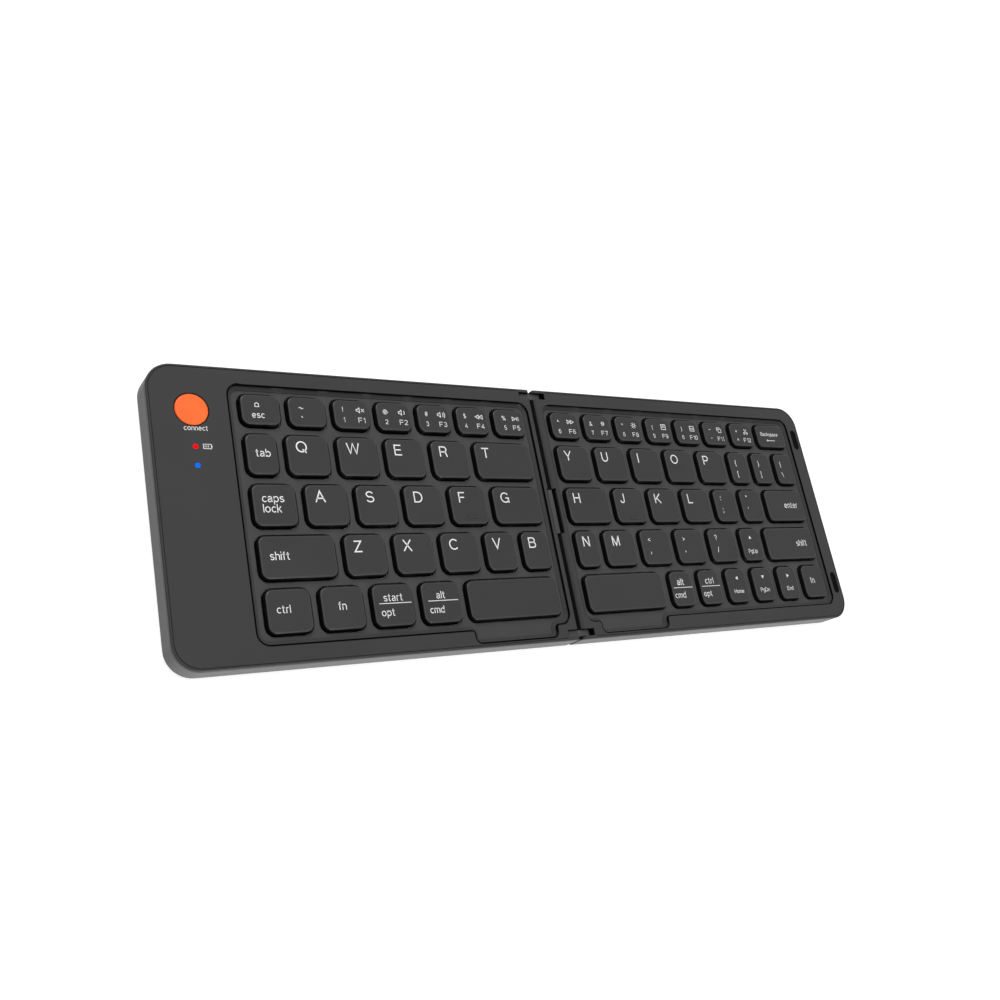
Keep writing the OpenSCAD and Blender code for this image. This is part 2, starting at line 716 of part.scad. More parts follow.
// Small screws with a flat head and a cross recess, from below
module screws(side) {
    on_side(side) for (place = screw_places)
        translate([place[0], place[1], z_base + head_depth - head_t]) difference() {
            union() {
                cylinder(d = screw_head_d, h = head_t);
                cylinder(d = screw_d, h = head_t + screw_l);
            }
            for (turn = [0, 90]) rotate(turn) translate([-0.8, -0.2, -0.1]) cube([1.6, 0.4, 0.5]);
        }
}

module feet(side) {
    on_side(side) for (place = foot_places) translate([place[0], place[1], 0])
        rotate_extrude() polygon([[0, 0], [foot_d / 2 - 0.3, 0], [foot_d / 2, 0.3],
            [foot_d / 2, foot_h], [0, foot_h]]);
}

module left_base() color("gainsboro") base("left", left_well_end);
module right_base() color("gainsboro") base("right", right_well_end);
module left_deck() color("dimgray") deck("left", left_well_end, left_notch_l);
module right_deck() color("dimgray") deck("right", right_well_end, right_notch_l);
module left_key_web() color("dimgray") key_web("left", left_keys, left_well_end, left_notch_l);
module right_key_web() color("dimgray") key_web("right", right_keys, right_well_end, right_notch_l);
module left_support_plate() color("silver") support_plate("left", left_well_end);
module right_support_plate() color("silver") support_plate("right", right_well_end);

module left_membrane() color("lightyellow") {
    sheet("left", left_well_end, z_membrane, membrane_t);
    // Tail that turns down to its connector on the circuit board
    translate([-board_end - connector_w / 2, tail_y, z_membrane])
        cube([board_end + connector_w / 2 - left_well_end + plate_in + 1, tail_w, membrane_t]);
    translate([-board_end - connector_w / 2, tail_y, z_board_top + connector_h])
        cube([membrane_t, tail_w, z_membrane_top - z_board_top - connector_h]);
}

module right_membrane() color("lightyellow") sheet("right", right_well_end, z_membrane, membrane_t);
module left_domes() color("white") for (key = left_keys) dome(key);
module right_domes() color("white") for (key = right_keys) dome(key);
module left_scissors() color("whitesmoke") scissors(left_keys);
module right_scissors() color("whitesmoke") scissors(right_keys);
module left_screws() color("gray") screws("left");
module right_screws() color("gray") screws("right");
module left_feet() color("black") feet("left");
module right_feet() color("black") feet("right");

module left_magnets() color("silver") for (y = [-magnet_y, magnet_y])
    translate([-magnet_x - magnet_w / 2, y - magnet_l / 2, z_deck - lid_gap - magnet_t])
        cube([magnet_w, magnet_l, magnet_t]);

module right_magnets() color("black") for (y = [-magnet_y, magnet_y])
    translate([magnet_x, y, z_top - pad_t]) linear_extrude(pad_t - pad_drop)
        slot_2d(magnet_w, magnet_l);

// Board in the left rim, with the button switch, two light sources, chips and connectors
module circuit_board() color("seagreen") {
    front = board_rear - board_l;
    translate([-board_end - board_w, front, z_board]) cube([board_w, board_l, board_t]);
    translate([-button_x - switch_w / 2, button_y - switch_w / 2, z_board_top - 0.1])
        cube([switch_w, switch_w, switch_top - 1 - z_board_top + 0.1]);
    translate([-button_x, button_y, switch_top - 1.1]) cylinder(d = 3.4, h = 1.1);
    for (y = light_y) translate([-button_x - 0.8, y - 0.4, z_board_top - 0.1]) cube([1.6, 0.8, 1]);
    for (chip = chips) translate([chip[0] - board_mid, board_rear - chip[1], z_board_top - 0.1])
        cube([chip[2], chip[3], 1]);
    // Connectors for the flex cable, the membrane tail and the battery lead
    for (y = [[-flex_w / 2 - 1, flex_w + 2], [tail_y - 1, tail_w + 2], [battery_y + 5, lead_w + 2]])
        translate([-board_end - connector_w, y[0], z_board_top - 0.1])
            cube([connector_w, y[1], connector_h + 0.1]);
}

// Flat pouch cell with its folded end and its lead to the board
module battery() color("slategray") {
    translate([0, battery_y, z_floor]) linear_extrude(battery_t)
        polygon(round_rect(-battery_x - battery_l, -battery_x, -battery_w / 2, battery_w / 2,
            1.5, 1.5, 4));
    translate([-board_end, battery_y + 6, z_board_top + 0.1])
        cube([lead_l + 0.5, lead_w, 0.6]);
}

// Oval metal shell round a flat contact tongue
module charge_socket() color("silver") {
    shell = 0.35;
    translate([-socket_x, rear - 0.1, z_board_top + socket_h / 2]) rotate([90, 90, 0]) {
        difference() {
            linear_extrude(socket_l) slot_2d(socket_h, socket_w);
            translate([0, 0, -1]) linear_extrude(socket_l)
                slot_2d(socket_h - 2 * shell, socket_w - 2 * shell);
        }
        translate([-0.35, 3.2 - socket_w / 2, 1.2]) cube([0.7, socket_w - 6.4, socket_l - 1.5]);
    }
}

// Round button with a flange that holds it under the deck and a stem over its switch
module connect_button() color("darkorange") translate([-button_x, button_y, 0]) {
    translate([0, 0, z_deck - 0.3]) rotate_extrude($fn = 64) polygon([[0, 0], [button_d / 2, 0],
        [button_d / 2, deck_t + 0.1], [button_d / 2 - 0.25, deck_t + 0.35], [0, deck_t + 0.35]]);
    translate([0, 0, z_deck - lid_gap - button_flange_t])
        cylinder(r = button_flange_r, h = button_flange_t);
    translate([0, 0, switch_top + button_travel + 0.1])
        cylinder(d = 3, h = z_deck - 0.5 - switch_top - button_travel - 0.1);
}

// Clear light guides with a collar under the deck
module status_lights() color("white") for (y = light_y) translate([-button_x, y, 0]) {
    translate([0, 0, z_board_top + 1.1]) cylinder(d = light_d, h = z_top - z_board_top - 1.1);
    translate([0, 0, z_deck - 0.6]) cylinder(d = light_d + 1.2, h = 0.6);
}

// Stadium-shaped links at both ends of the hinge, bored for their two pins
module hinge_links() color("dimgray") for (y = [link_in, -link_out]) along_y(y, y + link_t)
    difference() {
        union() {
            translate([-pivot_x, z_pivot - link_r]) square([2 * pivot_x, 2 * link_r]);
            for (x = [-pivot_x, pivot_x]) translate([x, z_pivot]) circle(r = link_r);
        }
        for (x = [-pivot_x, pivot_x]) translate([x, z_pivot]) circle(r = pin_d / 2 + pin_fit);
    }

module hinge_pins() color("silver") for (x = [-pivot_x, pivot_x]) for (end = [0, 180])
    rotate(end) translate([x, block_in, z_pivot]) rotate([-90, 0, 0])
        cylinder(d = pin_d, h = rear - pin_cover - block_in);

// Ledge over the cable in the middle of the seam, seated on the left seam wall
module cable_guide() color("dimgray") {
    foot_x = window_x - 0.05;
    along_y(-guide_l / 2, guide_l / 2) {
        translate([-guide_w / 2 - 0.05, guide_z]) square([guide_w, guide_t]);
        translate([-foot_x, window_z]) square([foot_x - seam_gap - 0.05, guide_z - window_z + 0.3]);
    }
}

// Flat cable from the circuit board, through both seam walls, up to the right membrane
module flex_cable() color("orange") along_y(-flex_w / 2, flex_w / 2) {
    bend_x = flex_rise - flex_bend;
    translate([-board_end, z_flex]) square([board_end + bend_x, flex_t]);
    translate([bend_x, z_flex + flex_bend]) intersection() {
        difference() {
            circle(r = flex_bend);
            circle(r = flex_bend - flex_t);
        }
        translate([0, -flex_bend]) square([flex_bend, flex_bend]);
    }
    translate([flex_rise - flex_t, z_flex + flex_bend])
        square([flex_t, z_membrane - z_flex - flex_bend]);
}

module letter_key(letter) color("dimgray")
    for (key = keys_named(concat(left_keys, right_keys), letter)) key_cap(key);
module left_space_bar() color("dimgray") for (key = keys_named(left_keys, "space")) key_cap(key);
module right_space_bar() color("dimgray") for (key = keys_named(right_keys, "space")) key_cap(key);
module left_function_keys() color("dimgray")
    for (key = command_keys(left_keys, row_front - 1)) key_cap(key);
module right_number_keys() color("dimgray") for (key = right_number_row) key_cap(key);
module right_function_keys() color("dimgray") for (key = right_commands) key_cap(key);

left_base();
left_deck();
left_key_web();
left_support_plate();
left_membrane();
left_domes();
left_scissors();
left_screws();
left_feet();
left_magnets();
circuit_board();
battery();
charge_socket();
connect_button();
status_lights();
right_base();
right_deck();
right_key_web();
right_support_plate();
right_membrane();
right_domes();
right_scissors();
right_screws();
right_feet();
right_magnets();
hinge_links();
hinge_pins();
cable_guide();
flex_cable();
left_space_bar();
right_space_bar();
left_function_keys();
right_number_keys();
right_function_keys();
for (letter = letters) letter_key(letter);
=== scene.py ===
import bpy
import numpy as np
from mathutils import Matrix, Vector


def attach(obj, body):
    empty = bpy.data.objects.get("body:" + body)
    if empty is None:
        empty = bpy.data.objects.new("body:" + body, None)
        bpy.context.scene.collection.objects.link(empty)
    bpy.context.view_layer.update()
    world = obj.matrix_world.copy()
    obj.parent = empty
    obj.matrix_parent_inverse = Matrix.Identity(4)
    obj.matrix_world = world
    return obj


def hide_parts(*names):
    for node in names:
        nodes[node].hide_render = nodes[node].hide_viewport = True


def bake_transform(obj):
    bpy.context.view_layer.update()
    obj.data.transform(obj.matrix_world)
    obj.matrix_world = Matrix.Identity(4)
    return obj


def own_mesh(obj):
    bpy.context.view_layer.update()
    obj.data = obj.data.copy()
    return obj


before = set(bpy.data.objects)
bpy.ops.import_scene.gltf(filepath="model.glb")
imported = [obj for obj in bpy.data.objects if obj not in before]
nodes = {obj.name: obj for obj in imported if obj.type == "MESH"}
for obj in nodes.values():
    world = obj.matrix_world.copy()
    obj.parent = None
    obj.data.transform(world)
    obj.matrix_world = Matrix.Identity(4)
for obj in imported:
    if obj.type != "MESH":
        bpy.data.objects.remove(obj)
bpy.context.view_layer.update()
scene = bpy.context.scene
mm = 0.001


# Camera, fitted to the straight edges and the round button: its place in millimetres and its three axes
camera = {
    "place": (-246.572, -107.895, 321.772),
    "right": (0.830121, -0.184623, 0.526131),
    "up": (-0.003704, 0.941745, 0.336308),
    "back": (-0.557571, -0.281125, 0.781078),
    "lens": 39.023,
}


def newObject(name, data):
    # An object that holds the data, linked to the scene
    thing = bpy.data.objects.new(name, data)
    scene.collection.objects.link(thing)
    return thing


def addCamera(values):
    # The three axes are the columns of its turn
    data = bpy.data.cameras.new("camera")
    data.lens = values["lens"]
    data.sensor_width = 36
    data.clip_start = 0.01
    eye = newObject("camera", data)
    axes = Matrix((values["right"], values["up"], values["back"])).transposed().to_4x4()
    eye.matrix_world = Matrix.Translation([v * mm for v in values["place"]]) @ axes
    scene.camera = eye


addCamera(camera)
scene.view_settings.view_transform = "Standard"
print("camera placed")


def toLinear(hexText):
    # Each sRGB channel, raised by the sRGB curve to the linear value that the shader wants
    value = np.array([int(hexText[i:i + 2], 16) for i in (1, 3, 5)]) / 255
    linear = np.where(value > 0.04045, ((value + 0.055) / 1.055) ** 2.4, value / 12.92)
    return (*linear.tolist(), 1.0)


def addNode(tree, kind, settings=None, inputs=None, links=None):
    # One node with its settings, its fixed inputs and the outputs that feed it
    node = tree.nodes.new("ShaderNode" + kind)
    for name, value in (settings or {}).items():
        setattr(node, name, value)
    for name, value in (inputs or {}).items():
        node.inputs[name].default_value = value
    for name, (source, socket) in (links or {}).items():
        tree.links.new(source.outputs[socket], node.inputs[name])
    return node


def emptyTree(holder):
    # The node tree of a material or a world, with nothing in it
    holder.use_nodes = True
    holder.node_tree.nodes.clear()
    return holder.node_tree


# Painted shade round the seam, near black: its blur, then for the gap and the pockets their reach in x, from and
# to in y, from and to in z, on both sides of the middle
seam = {"blur": 0.1, "gap": (3.3, -1, 49.86, -1, 9.9), "pockets": (6.3, 45.9, 49.1, 1.3, 10.65)}


def paintSeamShade(tree, place, colour, dark):
    # Painted shade on the walls of the seam and of the hinge pockets: inside each place the colour gives way to
    # the dark one, by the product of one soft step for each limit
    axes = addNode(tree, "SeparateXYZ", links={"Vector": (place, "Object")})
    shades = []
    for reach, low, high, bottom, top in (seam["gap"], seam["pockets"]):
        shade = None
        limits = (("X", reach, 1), ("Y", low, -1), ("Y", high, 1), ("Z", bottom, -1), ("Z", top, 1))
        for axis, limit, way in limits:
            blur = way * seam["blur"]
            size = addNode(tree, "Math", {"operation": "ABSOLUTE"}, links={0: (axes, axis)})
            step = addNode(tree, "MapRange", None,
                           {"From Min": (limit - blur) * mm, "From Max": (limit + blur) * mm,
                            "To Min": 1.0, "To Max": 0.0}, {"Value": (size, "Value")})
            if shade:
                shade = addNode(tree, "Math", {"operation": "MULTIPLY"},
                                links={0: shade, 1: (step, "Result")}), "Value"
            else:
                shade = step, "Result"
        shades.append(shade)
    either = addNode(tree, "Math", {"operation": "MAXIMUM"}, links=dict(enumerate(shades)))
    # A colour Mix node keeps its factor, colours and result in the places 0, 6 and 7, and 2
    mix = addNode(tree, "Mix", {"data_type": "RGBA"}, {7: toLinear(dark)},
                  {0: (either, "Value"), 6: colour})
    return mix, 2


# Settings that all finishes share: the two noises, how much of the grain is added to the broad noise, where in
# their sum the two shades lie, how strongly the grain lifts the surface, and the samples of a rounded edge
mottle = {
    "grain": {"Scale": 1.0, "Detail": 3.0, "Roughness": 0.55},
    "drift": {"Scale": 1.0, "Detail": 4.0, "Roughness": 0.6},
    "share": 0.25, "dark": 0.35, "light": 0.85, "lift": 0.6, "edgeSamples": 6,
}


def newFinish(name, look):
    # Two shades of one colour drift over a broad noise. A second noise at the real grain size, stretched for a
    # brushed grain, moves the roughness and lifts the surface by some thousandths of a millimetre, more on foil
    material = bpy.data.materials.new(name)
    tree = emptyTree(material)
    place = addNode(tree, "TexCoord")
    noises = []
    for layer, stretch in (("grain", look.get("stretch", (1, 1, 1))), ("drift", (1, 1, 1))):
        scale = tuple(1 / (look[layer] * mm * s) for s in stretch)
        spread = addNode(tree, "Mapping", None, {"Scale": scale}, {"Vector": (place, "Object")})
        noises.append(addNode(tree, "TexNoise", None, mottle[layer], {"Vector": (spread, "Vector")}))
    grain, drift = noises
    both = addNode(tree, "Math", {"operation": "MULTIPLY_ADD"}, {1: mottle["share"]},
                   {0: (grain, "Fac"), 2: (drift, "Fac")})
    shade = addNode(tree, "ValToRGB", links={"Fac": (both, "Value")})
    for stop, tone in zip(shade.color_ramp.elements, ("dark", "light")):
        stop.position = mottle[tone]
        stop.color = toLinear(look[tone])
    low, high = look["roughness"]
    gloss = addNode(tree, "MapRange", None, {"To Min": low, "To Max": high}, {"Value": (grain, "Fac")})
    bump = addNode(tree, "Bump", None, {"Strength": mottle["lift"], "Distance": look["bump"] * mm},
                   {"Height": (grain, "Fac")})
    if "edge" in look:
        edge = addNode(tree, "Bevel", {"samples": mottle["edgeSamples"]}, {"Radius": look["edge"] * mm})
        tree.links.new(edge.outputs["Normal"], bump.inputs["Normal"])
    colour = (shade, "Color")
    # Painted shade in the seam and the hinge pockets, for the finishes that give a colour for it
    if "seam" in look:
        colour = paintSeamShade(tree, place, colour, look["seam"])
    inputs = dict(look.get("shader", {}))
    if "ior" in look:
        inputs.update({"IOR": look["ior"], "Specular IOR Level": look["shine"]})
    shader = addNode(tree, "BsdfPrincipled", None, inputs,
                     {"Base Color": colour, "Roughness": (gloss, "Result"), "Normal": (bump, "Normal")})
    addNode(tree, "OutputMaterial", links={"Surface": (shader, "BSDF")})
    return material


finishes = {
    # Charcoal ABS with a fine spark-eroded mould grain: a soft even grey with no sharp reflection, with painted
    # shade in the seam and the hinge pockets
    "mouldedAbs": {"dark": "#343435", "light": "#393939", "grain": 0.35, "drift": 38, "bump": 0.004,
                   "roughness": (0.36, 0.46), "edge": 0.12, "seam": "#060606", "ior": 1.53, "shine": 0.13},
    # The same ABS on the key panels, a shade lighter than the deck as painted light that lifts the well floor out
    # of its shade, with painted shade in the seam
    "litPanelAbs": {"dark": "#3f3f40", "light": "#454546", "grain": 0.25, "drift": 30, "bump": 0.003,
                 "roughness": (0.36, 0.46), "edge": 0.12, "seam": "#060606", "ior": 1.53, "shine": 0.13},
    # The same ABS on the hinge links and the cable ledge, polished a little by handling
    "linkAbs": {"dark": "#3c3c3d", "light": "#444445", "grain": 0.35, "drift": 12, "bump": 0.004,
                "roughness": (0.34, 0.44), "edge": 0.25, "ior": 1.53, "shine": 0.2},
    # Near-black matt sheet laid where there is shade, as painted shade along the rims and walls of the key wells
    # and
    # round the button: it takes the light away
    "shadeSheetBlack": {"dark": "#030303", "light": "#070707", "grain": 0.2, "drift": 9, "bump": 0.01,
                  "roughness": (0.80, 0.92), "ior": 1.4, "shine": 0.02},
    # ABS keycap tops under a soft-touch lacquer: the same grey, a little silkier than the deck
    "keyLacquer": {"dark": "#343435", "light": "#383839", "grain": 0.22, "drift": 25, "bump": 0.003,
                   "roughness": (0.36, 0.46), "ior": 1.5, "shine": 0.13},
    # The same lacquer round the rim of each key, glossier where fingers have polished it, and a little lighter as
    # a
    # painted highlight: it catches the light
    "rimHighlightLacquer": {"dark": "#363637", "light": "#3c3c3d", "grain": 0.22, "drift": 25, "bump": 0.002,
                   "roughness": (0.26, 0.34), "ior": 1.5, "shine": 0.22},
    # Bare ABS of the keycap flanks, smooth and near black: the black paints the shade of the narrow gaps between
    # keys
    "flankShadeAbs": {"dark": "#050505", "light": "#090909", "grain": 0.4, "drift": 20, "bump": 0.003,
                    "roughness": (0.38, 0.46), "ior": 1.53, "shine": 0.1},
    # Die-cast shell in silver paint: an even mid grey, satin, paler where a lamp grazes it, with painted shade in
    # the seam and the hinge pockets
    "silverPaint": {"dark": "#6c6c6c", "light": "#737373", "grain": 0.12, "drift": 45, "bump": 0.002,
                    "roughness": (0.52, 0.60), "edge": 0.3, "seam": "#0b0b0b", "ior": 1.35, "shine": 0.3},
    # Orange ABS button with a satin face
    "buttonAbs": {"dark": "#fb6526", "light": "#ff7434", "grain": 0.3, "drift": 12, "bump": 0.002,
                  "roughness": (0.36, 0.46), "edge": 0.3, "ior": 1.53, "shine": 0.2},
    # Pad-printed ink on keys and deck: near white, matt, thinner than a hair
    "printInk": {"dark": "#e2e2e2", "light": "#f0f0f0", "grain": 0.15, "drift": 6, "bump": 0.001,
                 "roughness": (0.55, 0.65), "ior": 1.48, "shine": 0.3},
    # Moulded silicone rubber of pads and feet: black, matt, faintly dusty
    "padRubber": {"dark": "#080809", "light": "#0e0e0f", "grain": 0.3, "drift": 6, "bump": 0.01,
                  "roughness": (0.62, 0.74), "edge": 0.25, "ior": 1.41, "shine": 0.03},
    # Stamped stainless steel with a rolled grain along its length
    "stampedSteel": {"dark": "#a9abad", "light": "#c4c5c6", "grain": 0.12, "drift": 18, "bump": 0.002,
                     "stretch": (20, 1, 1), "roughness": (0.26, 0.40), "shader": {"Metallic": 1.0}},
    # Nickel-plated steel of screws, pins and magnets: bright and a little warm
    "nickelPlate": {"dark": "#b5b2aa", "light": "#cfccc4", "grain": 0.2, "drift": 4, "bump": 0.002,
                    "roughness": (0.18, 0.28), "shader": {"Metallic": 1.0}},
    # Clear silicone domes: milky and soft
    "domeSilicone": {"dark": "#c9ccce", "light": "#dde0e2", "grain": 0.4, "drift": 9, "bump": 0.004,
                     "roughness": (0.35, 0.45), "shader": {"IOR": 1.41, "Subsurface Weight": 0.3}},
    # Acetal scissor arms: white, waxy, faintly see-through at the rim
    "acetalArms": {"dark": "#d8d8d3", "light": "#e8e8e3", "grain": 0.25, "drift": 7, "bump": 0.003,
                   "roughness": (0.30, 0.40), "shader": {"IOR": 1.48, "Subsurface Weight": 0.1}},
    # Polyester switch film with printed silver tracks that show as pale streaks
    "switchFilm": {"dark": "#8f9aa0", "light": "#cdd4d6", "grain": 1.6, "drift": 3, "bump": 0.002,
                   "stretch": (6, 0.4, 1), "roughness": (0.15, 0.30), "shader": {"IOR": 1.6}},
    # Circuit board: woven glass and epoxy under green solder mask, 0.5 mm weave
    "solderMask": {"dark": "#0d3a20", "light": "#1a6a38", "grain": 0.5, "drift": 2.2, "bump": 0.004,
                   "roughness": (0.25, 0.38), "shader": {"IOR": 1.55}},
    # Pouch cell: aluminium laminate foil with soft dents
    "pouchFoil": {"dark": "#8f9193", "light": "#b4b6b8", "grain": 2.5, "drift": 14, "bump": 0.05,
                  "roughness": (0.24, 0.36), "shader": {"Metallic": 0.9}},
    # Polyimide flex cable: amber film over copper tracks that run along it
    "amberFilm": {"dark": "#7a3f0c", "light": "#b9651a", "grain": 0.8, "drift": 6, "bump": 0.003,
                  "stretch": (40, 1, 1), "roughness": (0.20, 0.32), "shader": {"IOR": 1.7}},
    # Red acrylic light guide over a lit source: the colour glows through the whole lens
    "redAcrylic": {"dark": "#c00000", "light": "#e00000", "grain": 0.3, "drift": 1.5, "bump": 0.001,
                   "roughness": (0.5, 0.6), "ior": 1.49, "shine": 0.05,
                   "shader": {"Emission Color": toLinear("#ff0000"), "Emission Strength": 0.7}},
    # Blue acrylic light guide, lit in the same way
    "blueAcrylic": {"dark": "#0040b0", "light": "#0050c8", "grain": 0.3, "drift": 1.5, "bump": 0.001,
                    "roughness": (0.5, 0.6), "ior": 1.49, "shine": 0.05,
                    "shader": {"Emission Color": toLinear("#0068ff"), "Emission Strength": 0.8}},
}
made = {name: newFinish(name, look) for name, look in finishes.items()}
print("finishes: %d" % len(made))


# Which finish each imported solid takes, whether it stays in view or lies inside
dressed = {
    "mouldedAbs": ["left_deck", "right_deck"],
    "litPanelAbs": ["left_key_web", "right_key_web"],
    "linkAbs": ["hinge_links", "cable_guide"],
    "silverPaint": ["left_base", "right_base"],
    "padRubber": ["left_feet", "right_feet", "right_magnets"],
    "stampedSteel": ["left_support_plate", "right_support_plate", "charge_socket"],
    "nickelPlate": ["left_screws", "right_screws", "hinge_pins", "left_magnets"],
    "domeSilicone": ["left_domes", "right_domes"],
    "acetalArms": ["left_scissors", "right_scissors"],
    "switchFilm": ["left_membrane", "right_membrane"],
    "solderMask": ["circuit_board"],
    "pouchFoil": ["battery"],
    "amberFilm": ["flex_cable"],
    "redAcrylic": ["status_lights"],
    "buttonAbs": ["connect_button"],
}


def dress(node, finish):
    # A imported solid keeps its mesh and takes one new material
    slots = nodes[node].data.materials
    slots.clear()
    slots.append(made[finish])


for finish, names in dressed.items():
    for name in names:
        dress(name, finish)


def newMesh(name, points, faces, materials):
    # A mesh from points given in millimetres
    data = bpy.data.meshes.new(name)
    data.from_pydata((np.asarray(points) * mm).tolist(), [], faces)
    for material in materials:
        data.materials.append(material)
    return data


def newPiece(name, points, faces, body, finishNames, faceKinds=None, smooth=True):
    # A mesh at the origin whose place is in its points. Its body is one name, to which it is attached; two names
    # with the places in x between them leave it unattached, where its points put it
    data = newMesh(name, points, faces, [made[finish] for finish in finishNames])
    if faceKinds is not None:
        data.polygons.foreach_set("material_index", np.asarray(faceKinds, dtype=np.int32))
    data.polygons.foreach_set("use_smooth", np.full(len(data.polygons), smooth))
    data.update()
    piece = newObject(name, data)
    if isinstance(body, str):
        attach(piece, body)
    else:
        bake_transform(piece)
    return piece


def raised(outline, z):
    # The points of an outline in x and y, all at one height
    return np.column_stack([outline, np.full(len(outline), z)])


def roundRect(box, radius, out, steps):
    # A rectangle moved outwards by a distance, its corners quarter circles whose radius grows with it
    x0, x1, y0, y1 = box
    angles = np.radians(np.linspace(0, 90, steps))
    quarter = np.stack([np.cos(angles), np.sin(angles)], 1) * (radius + out)
    turns = [np.array([[0, 1], [-1, 0]]), np.eye(2), np.array([[0, -1], [1, 0]]), -np.eye(2)]
    centres = [(x1 - radius, y0 + radius), (x1 - radius, y1 - radius), (x0 + radius, y1 - radius),
               (x0 + radius, y0 + radius)]
    return np.concatenate([quarter @ turn.T + centre for turn, centre in zip(turns, centres)])


def stacked(box, radius, steps, section):
    # One rounded rectangle for each corner of a section, given as distance outwards and height
    return [raised(roundRect(box, radius, out, steps), z) for out, z in section]


def loft(rings):
    # Quads between neighbouring closed rings of the same count, with a flat face at each end
    count = len(rings[0])
    points = np.concatenate(rings)
    index = np.arange(count)
    following = (index + 1) % count
    starts = np.arange(len(rings) - 1)[:, None] * count
    quads = np.stack([starts + index, starts + following, starts + count + following, starts + count + index], 2)
    faces = quads.reshape(-1, 4).tolist()
    faces.append(index[::-1].tolist())
    faces.append((index + (len(rings) - 1) * count).tolist())
    return points, faces


def hoop(rings):
    # Quads between neighbouring closed rings of the same count, and from the last ring back to the first
    count = len(rings[0])
    index = np.arange(count)
    following = (index + 1) % count
    starts = np.arange(len(rings))[:, None] * count
    ends = np.roll(starts, -1, axis=0)
    quads = np.stack([starts + index, starts + following, ends + following, ends + index], 2)
    return np.concatenate(rings), quads.reshape(-1, 4).tolist()


# Keycap: its profile as distance outwards and height, and the rows' places, all in millimetres
keycap = {
    "radius": 2.5, "steps": 7,
    "profile": [(-0.9, 10.0), (-0.35, 8.6), (0.6, 8.6), (0.55, 8.85), (0.2, 10.2), (0.08, 10.52), (0, 10.68),
                (-0.12, 10.8), (-0.28, 10.87), (-0.46, 10.9), (-1.1, 10.9)],
    "flankRings": 6, "rimRings": 9,  # bands of the profile up to the flank's end and up to the rim's end
    "pitch": 17.55, "front": -40.1, "depth": 14, "numberStep": 4, "numberDepth": 10.5,
    "leftStart": -119.45, "leftLength": 112.7, "rightStart": 6.75, "rightLength": 132.85,
}
lw = 14.85  # width of most keys of the left half
rw = 15  # and of the right half
# Each row: its step above the front row, its gap, and its keys from left to right with their widths
leftRows = [
    (4, 3.25, [(n, 13.2) for n in ("esc", "grave", "1", "2", "3", "4", "5")]),
    (3, 3.6, [("tab", 10.45), ("q", lw), ("w", lw), ("e", lw), ("r", lw), ("t", 24.85)]),
    (2, 3.6, [("caps", 14.65), ("a", lw), ("s", lw), ("d", lw), ("f", lw), ("g", 20.65)]),
    (1, 3.6, [("shift", 26), ("z", lw), ("x", lw), ("c", lw), ("v", 12.4), ("b", 11.75)]),
    (0, 3.6, [("ctrl", lw), ("fn", lw), ("start", lw), ("alt", lw), ("space", 38.9)]),
]
rightRows = [
    (4, 3.25, [(n, 13.2) for n in ("6", "7", "8", "9", "0", "minus", "equals")] + [("back", 17.7)]),
    (3, 3.6, [("y", rw), ("u", rw), ("i", rw), ("o", rw), ("p", rw), ("open", 10.8), ("close", 10.8),
              ("slash", 11.05)]),
    (2, 3.3, [("h", 20), ("j", rw), ("k", rw), ("l", rw), ("semicolon", 12.4), ("quote", 12.4),
              ("enter", 23.25)]),
    (1, 3.6, [("n", 9.9), ("m", rw), ("comma", rw), ("stop", rw), ("query", rw), ("up", 11.5),
              ("shift", 29.85)]),
    (0, 4.4, [("space", 38.1), ("alt", 11.1), ("ctrl", 11.1), ("left", 11.1), ("down", 11.1),
              ("right", 11.1), ("fn", 12.85)]),
]


def rowKeys(side, rows, start, length):
    # Each key's box in a row: the widths share what the gaps leave of the row, and places add up from its start
    boxes = {}
    for step, gap, keys in rows:
        widths = np.array([w for _, w in keys], float)
        widths *= (length - gap * (len(keys) - 1)) / widths.sum()
        lefts = start + np.concatenate([[0], np.cumsum(widths + gap)[:-1]])
        front = keycap["front"] + step * keycap["pitch"]
        depth = keycap["numberDepth"] if step == keycap["numberStep"] else keycap["depth"]
        for (name, _), x, w in zip(keys, lefts, widths):
            boxes[side + " " + name] = (x, x + w, front, front + depth)
    return boxes


keys = rowKeys("left", leftRows, keycap["leftStart"], keycap["leftLength"])
keys.update(rowKeys("right", rightRows, keycap["rightStart"], keycap["rightLength"]))


def keyNode(key):
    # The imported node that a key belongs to: its own, or one of the groups
    side, name = key.split(" ")
    if name == "space":
        return side + "_space_bar"
    if len(name) == 1 and name.isalpha():
        return "key_" + name
    if side == "left":
        return "left_function_keys"
    numberFront = keycap["front"] + keycap["numberStep"] * keycap["pitch"]
    return "right_number_keys" if np.isclose(keys[key][2], numberFront) else "right_function_keys"


def keycapShape(box):
    # Rounded rectangles stacked along the profile: the hollow underneath, the flared flank, the rounded rim and
    # the top
    rings = stacked(box, keycap["radius"], keycap["steps"], keycap["profile"])
    points, faces = loft(rings)
    count = len(rings[0])
    # The flank, 1, takes near black as painted shade; the rim, 2, a lighter lacquer as a painted highlight
    kinds = np.zeros(len(faces), int)  # 0 is the top, 1 the flank with the hollow and its roof, 2 the rim
    kinds[:count * keycap["rimRings"]] = 2
    kinds[:count * keycap["flankRings"]] = 1
    kinds[-2] = 1
    return points, faces, kinds


def joined(shapes):
    # Several meshes as one: the points in a row, each one's faces counted on from the points before it
    points, faces, kinds, offset = [], [], [], 0
    for shape in shapes:
        points.append(shape[0])
        faces += [[v + offset for v in face] for face in shape[1]]
        kinds.append(shape[2] if len(shape) > 2 else np.zeros(len(shape[1]), int))
        offset += len(shape[0])
    return np.concatenate(points), faces, np.concatenate(kinds)


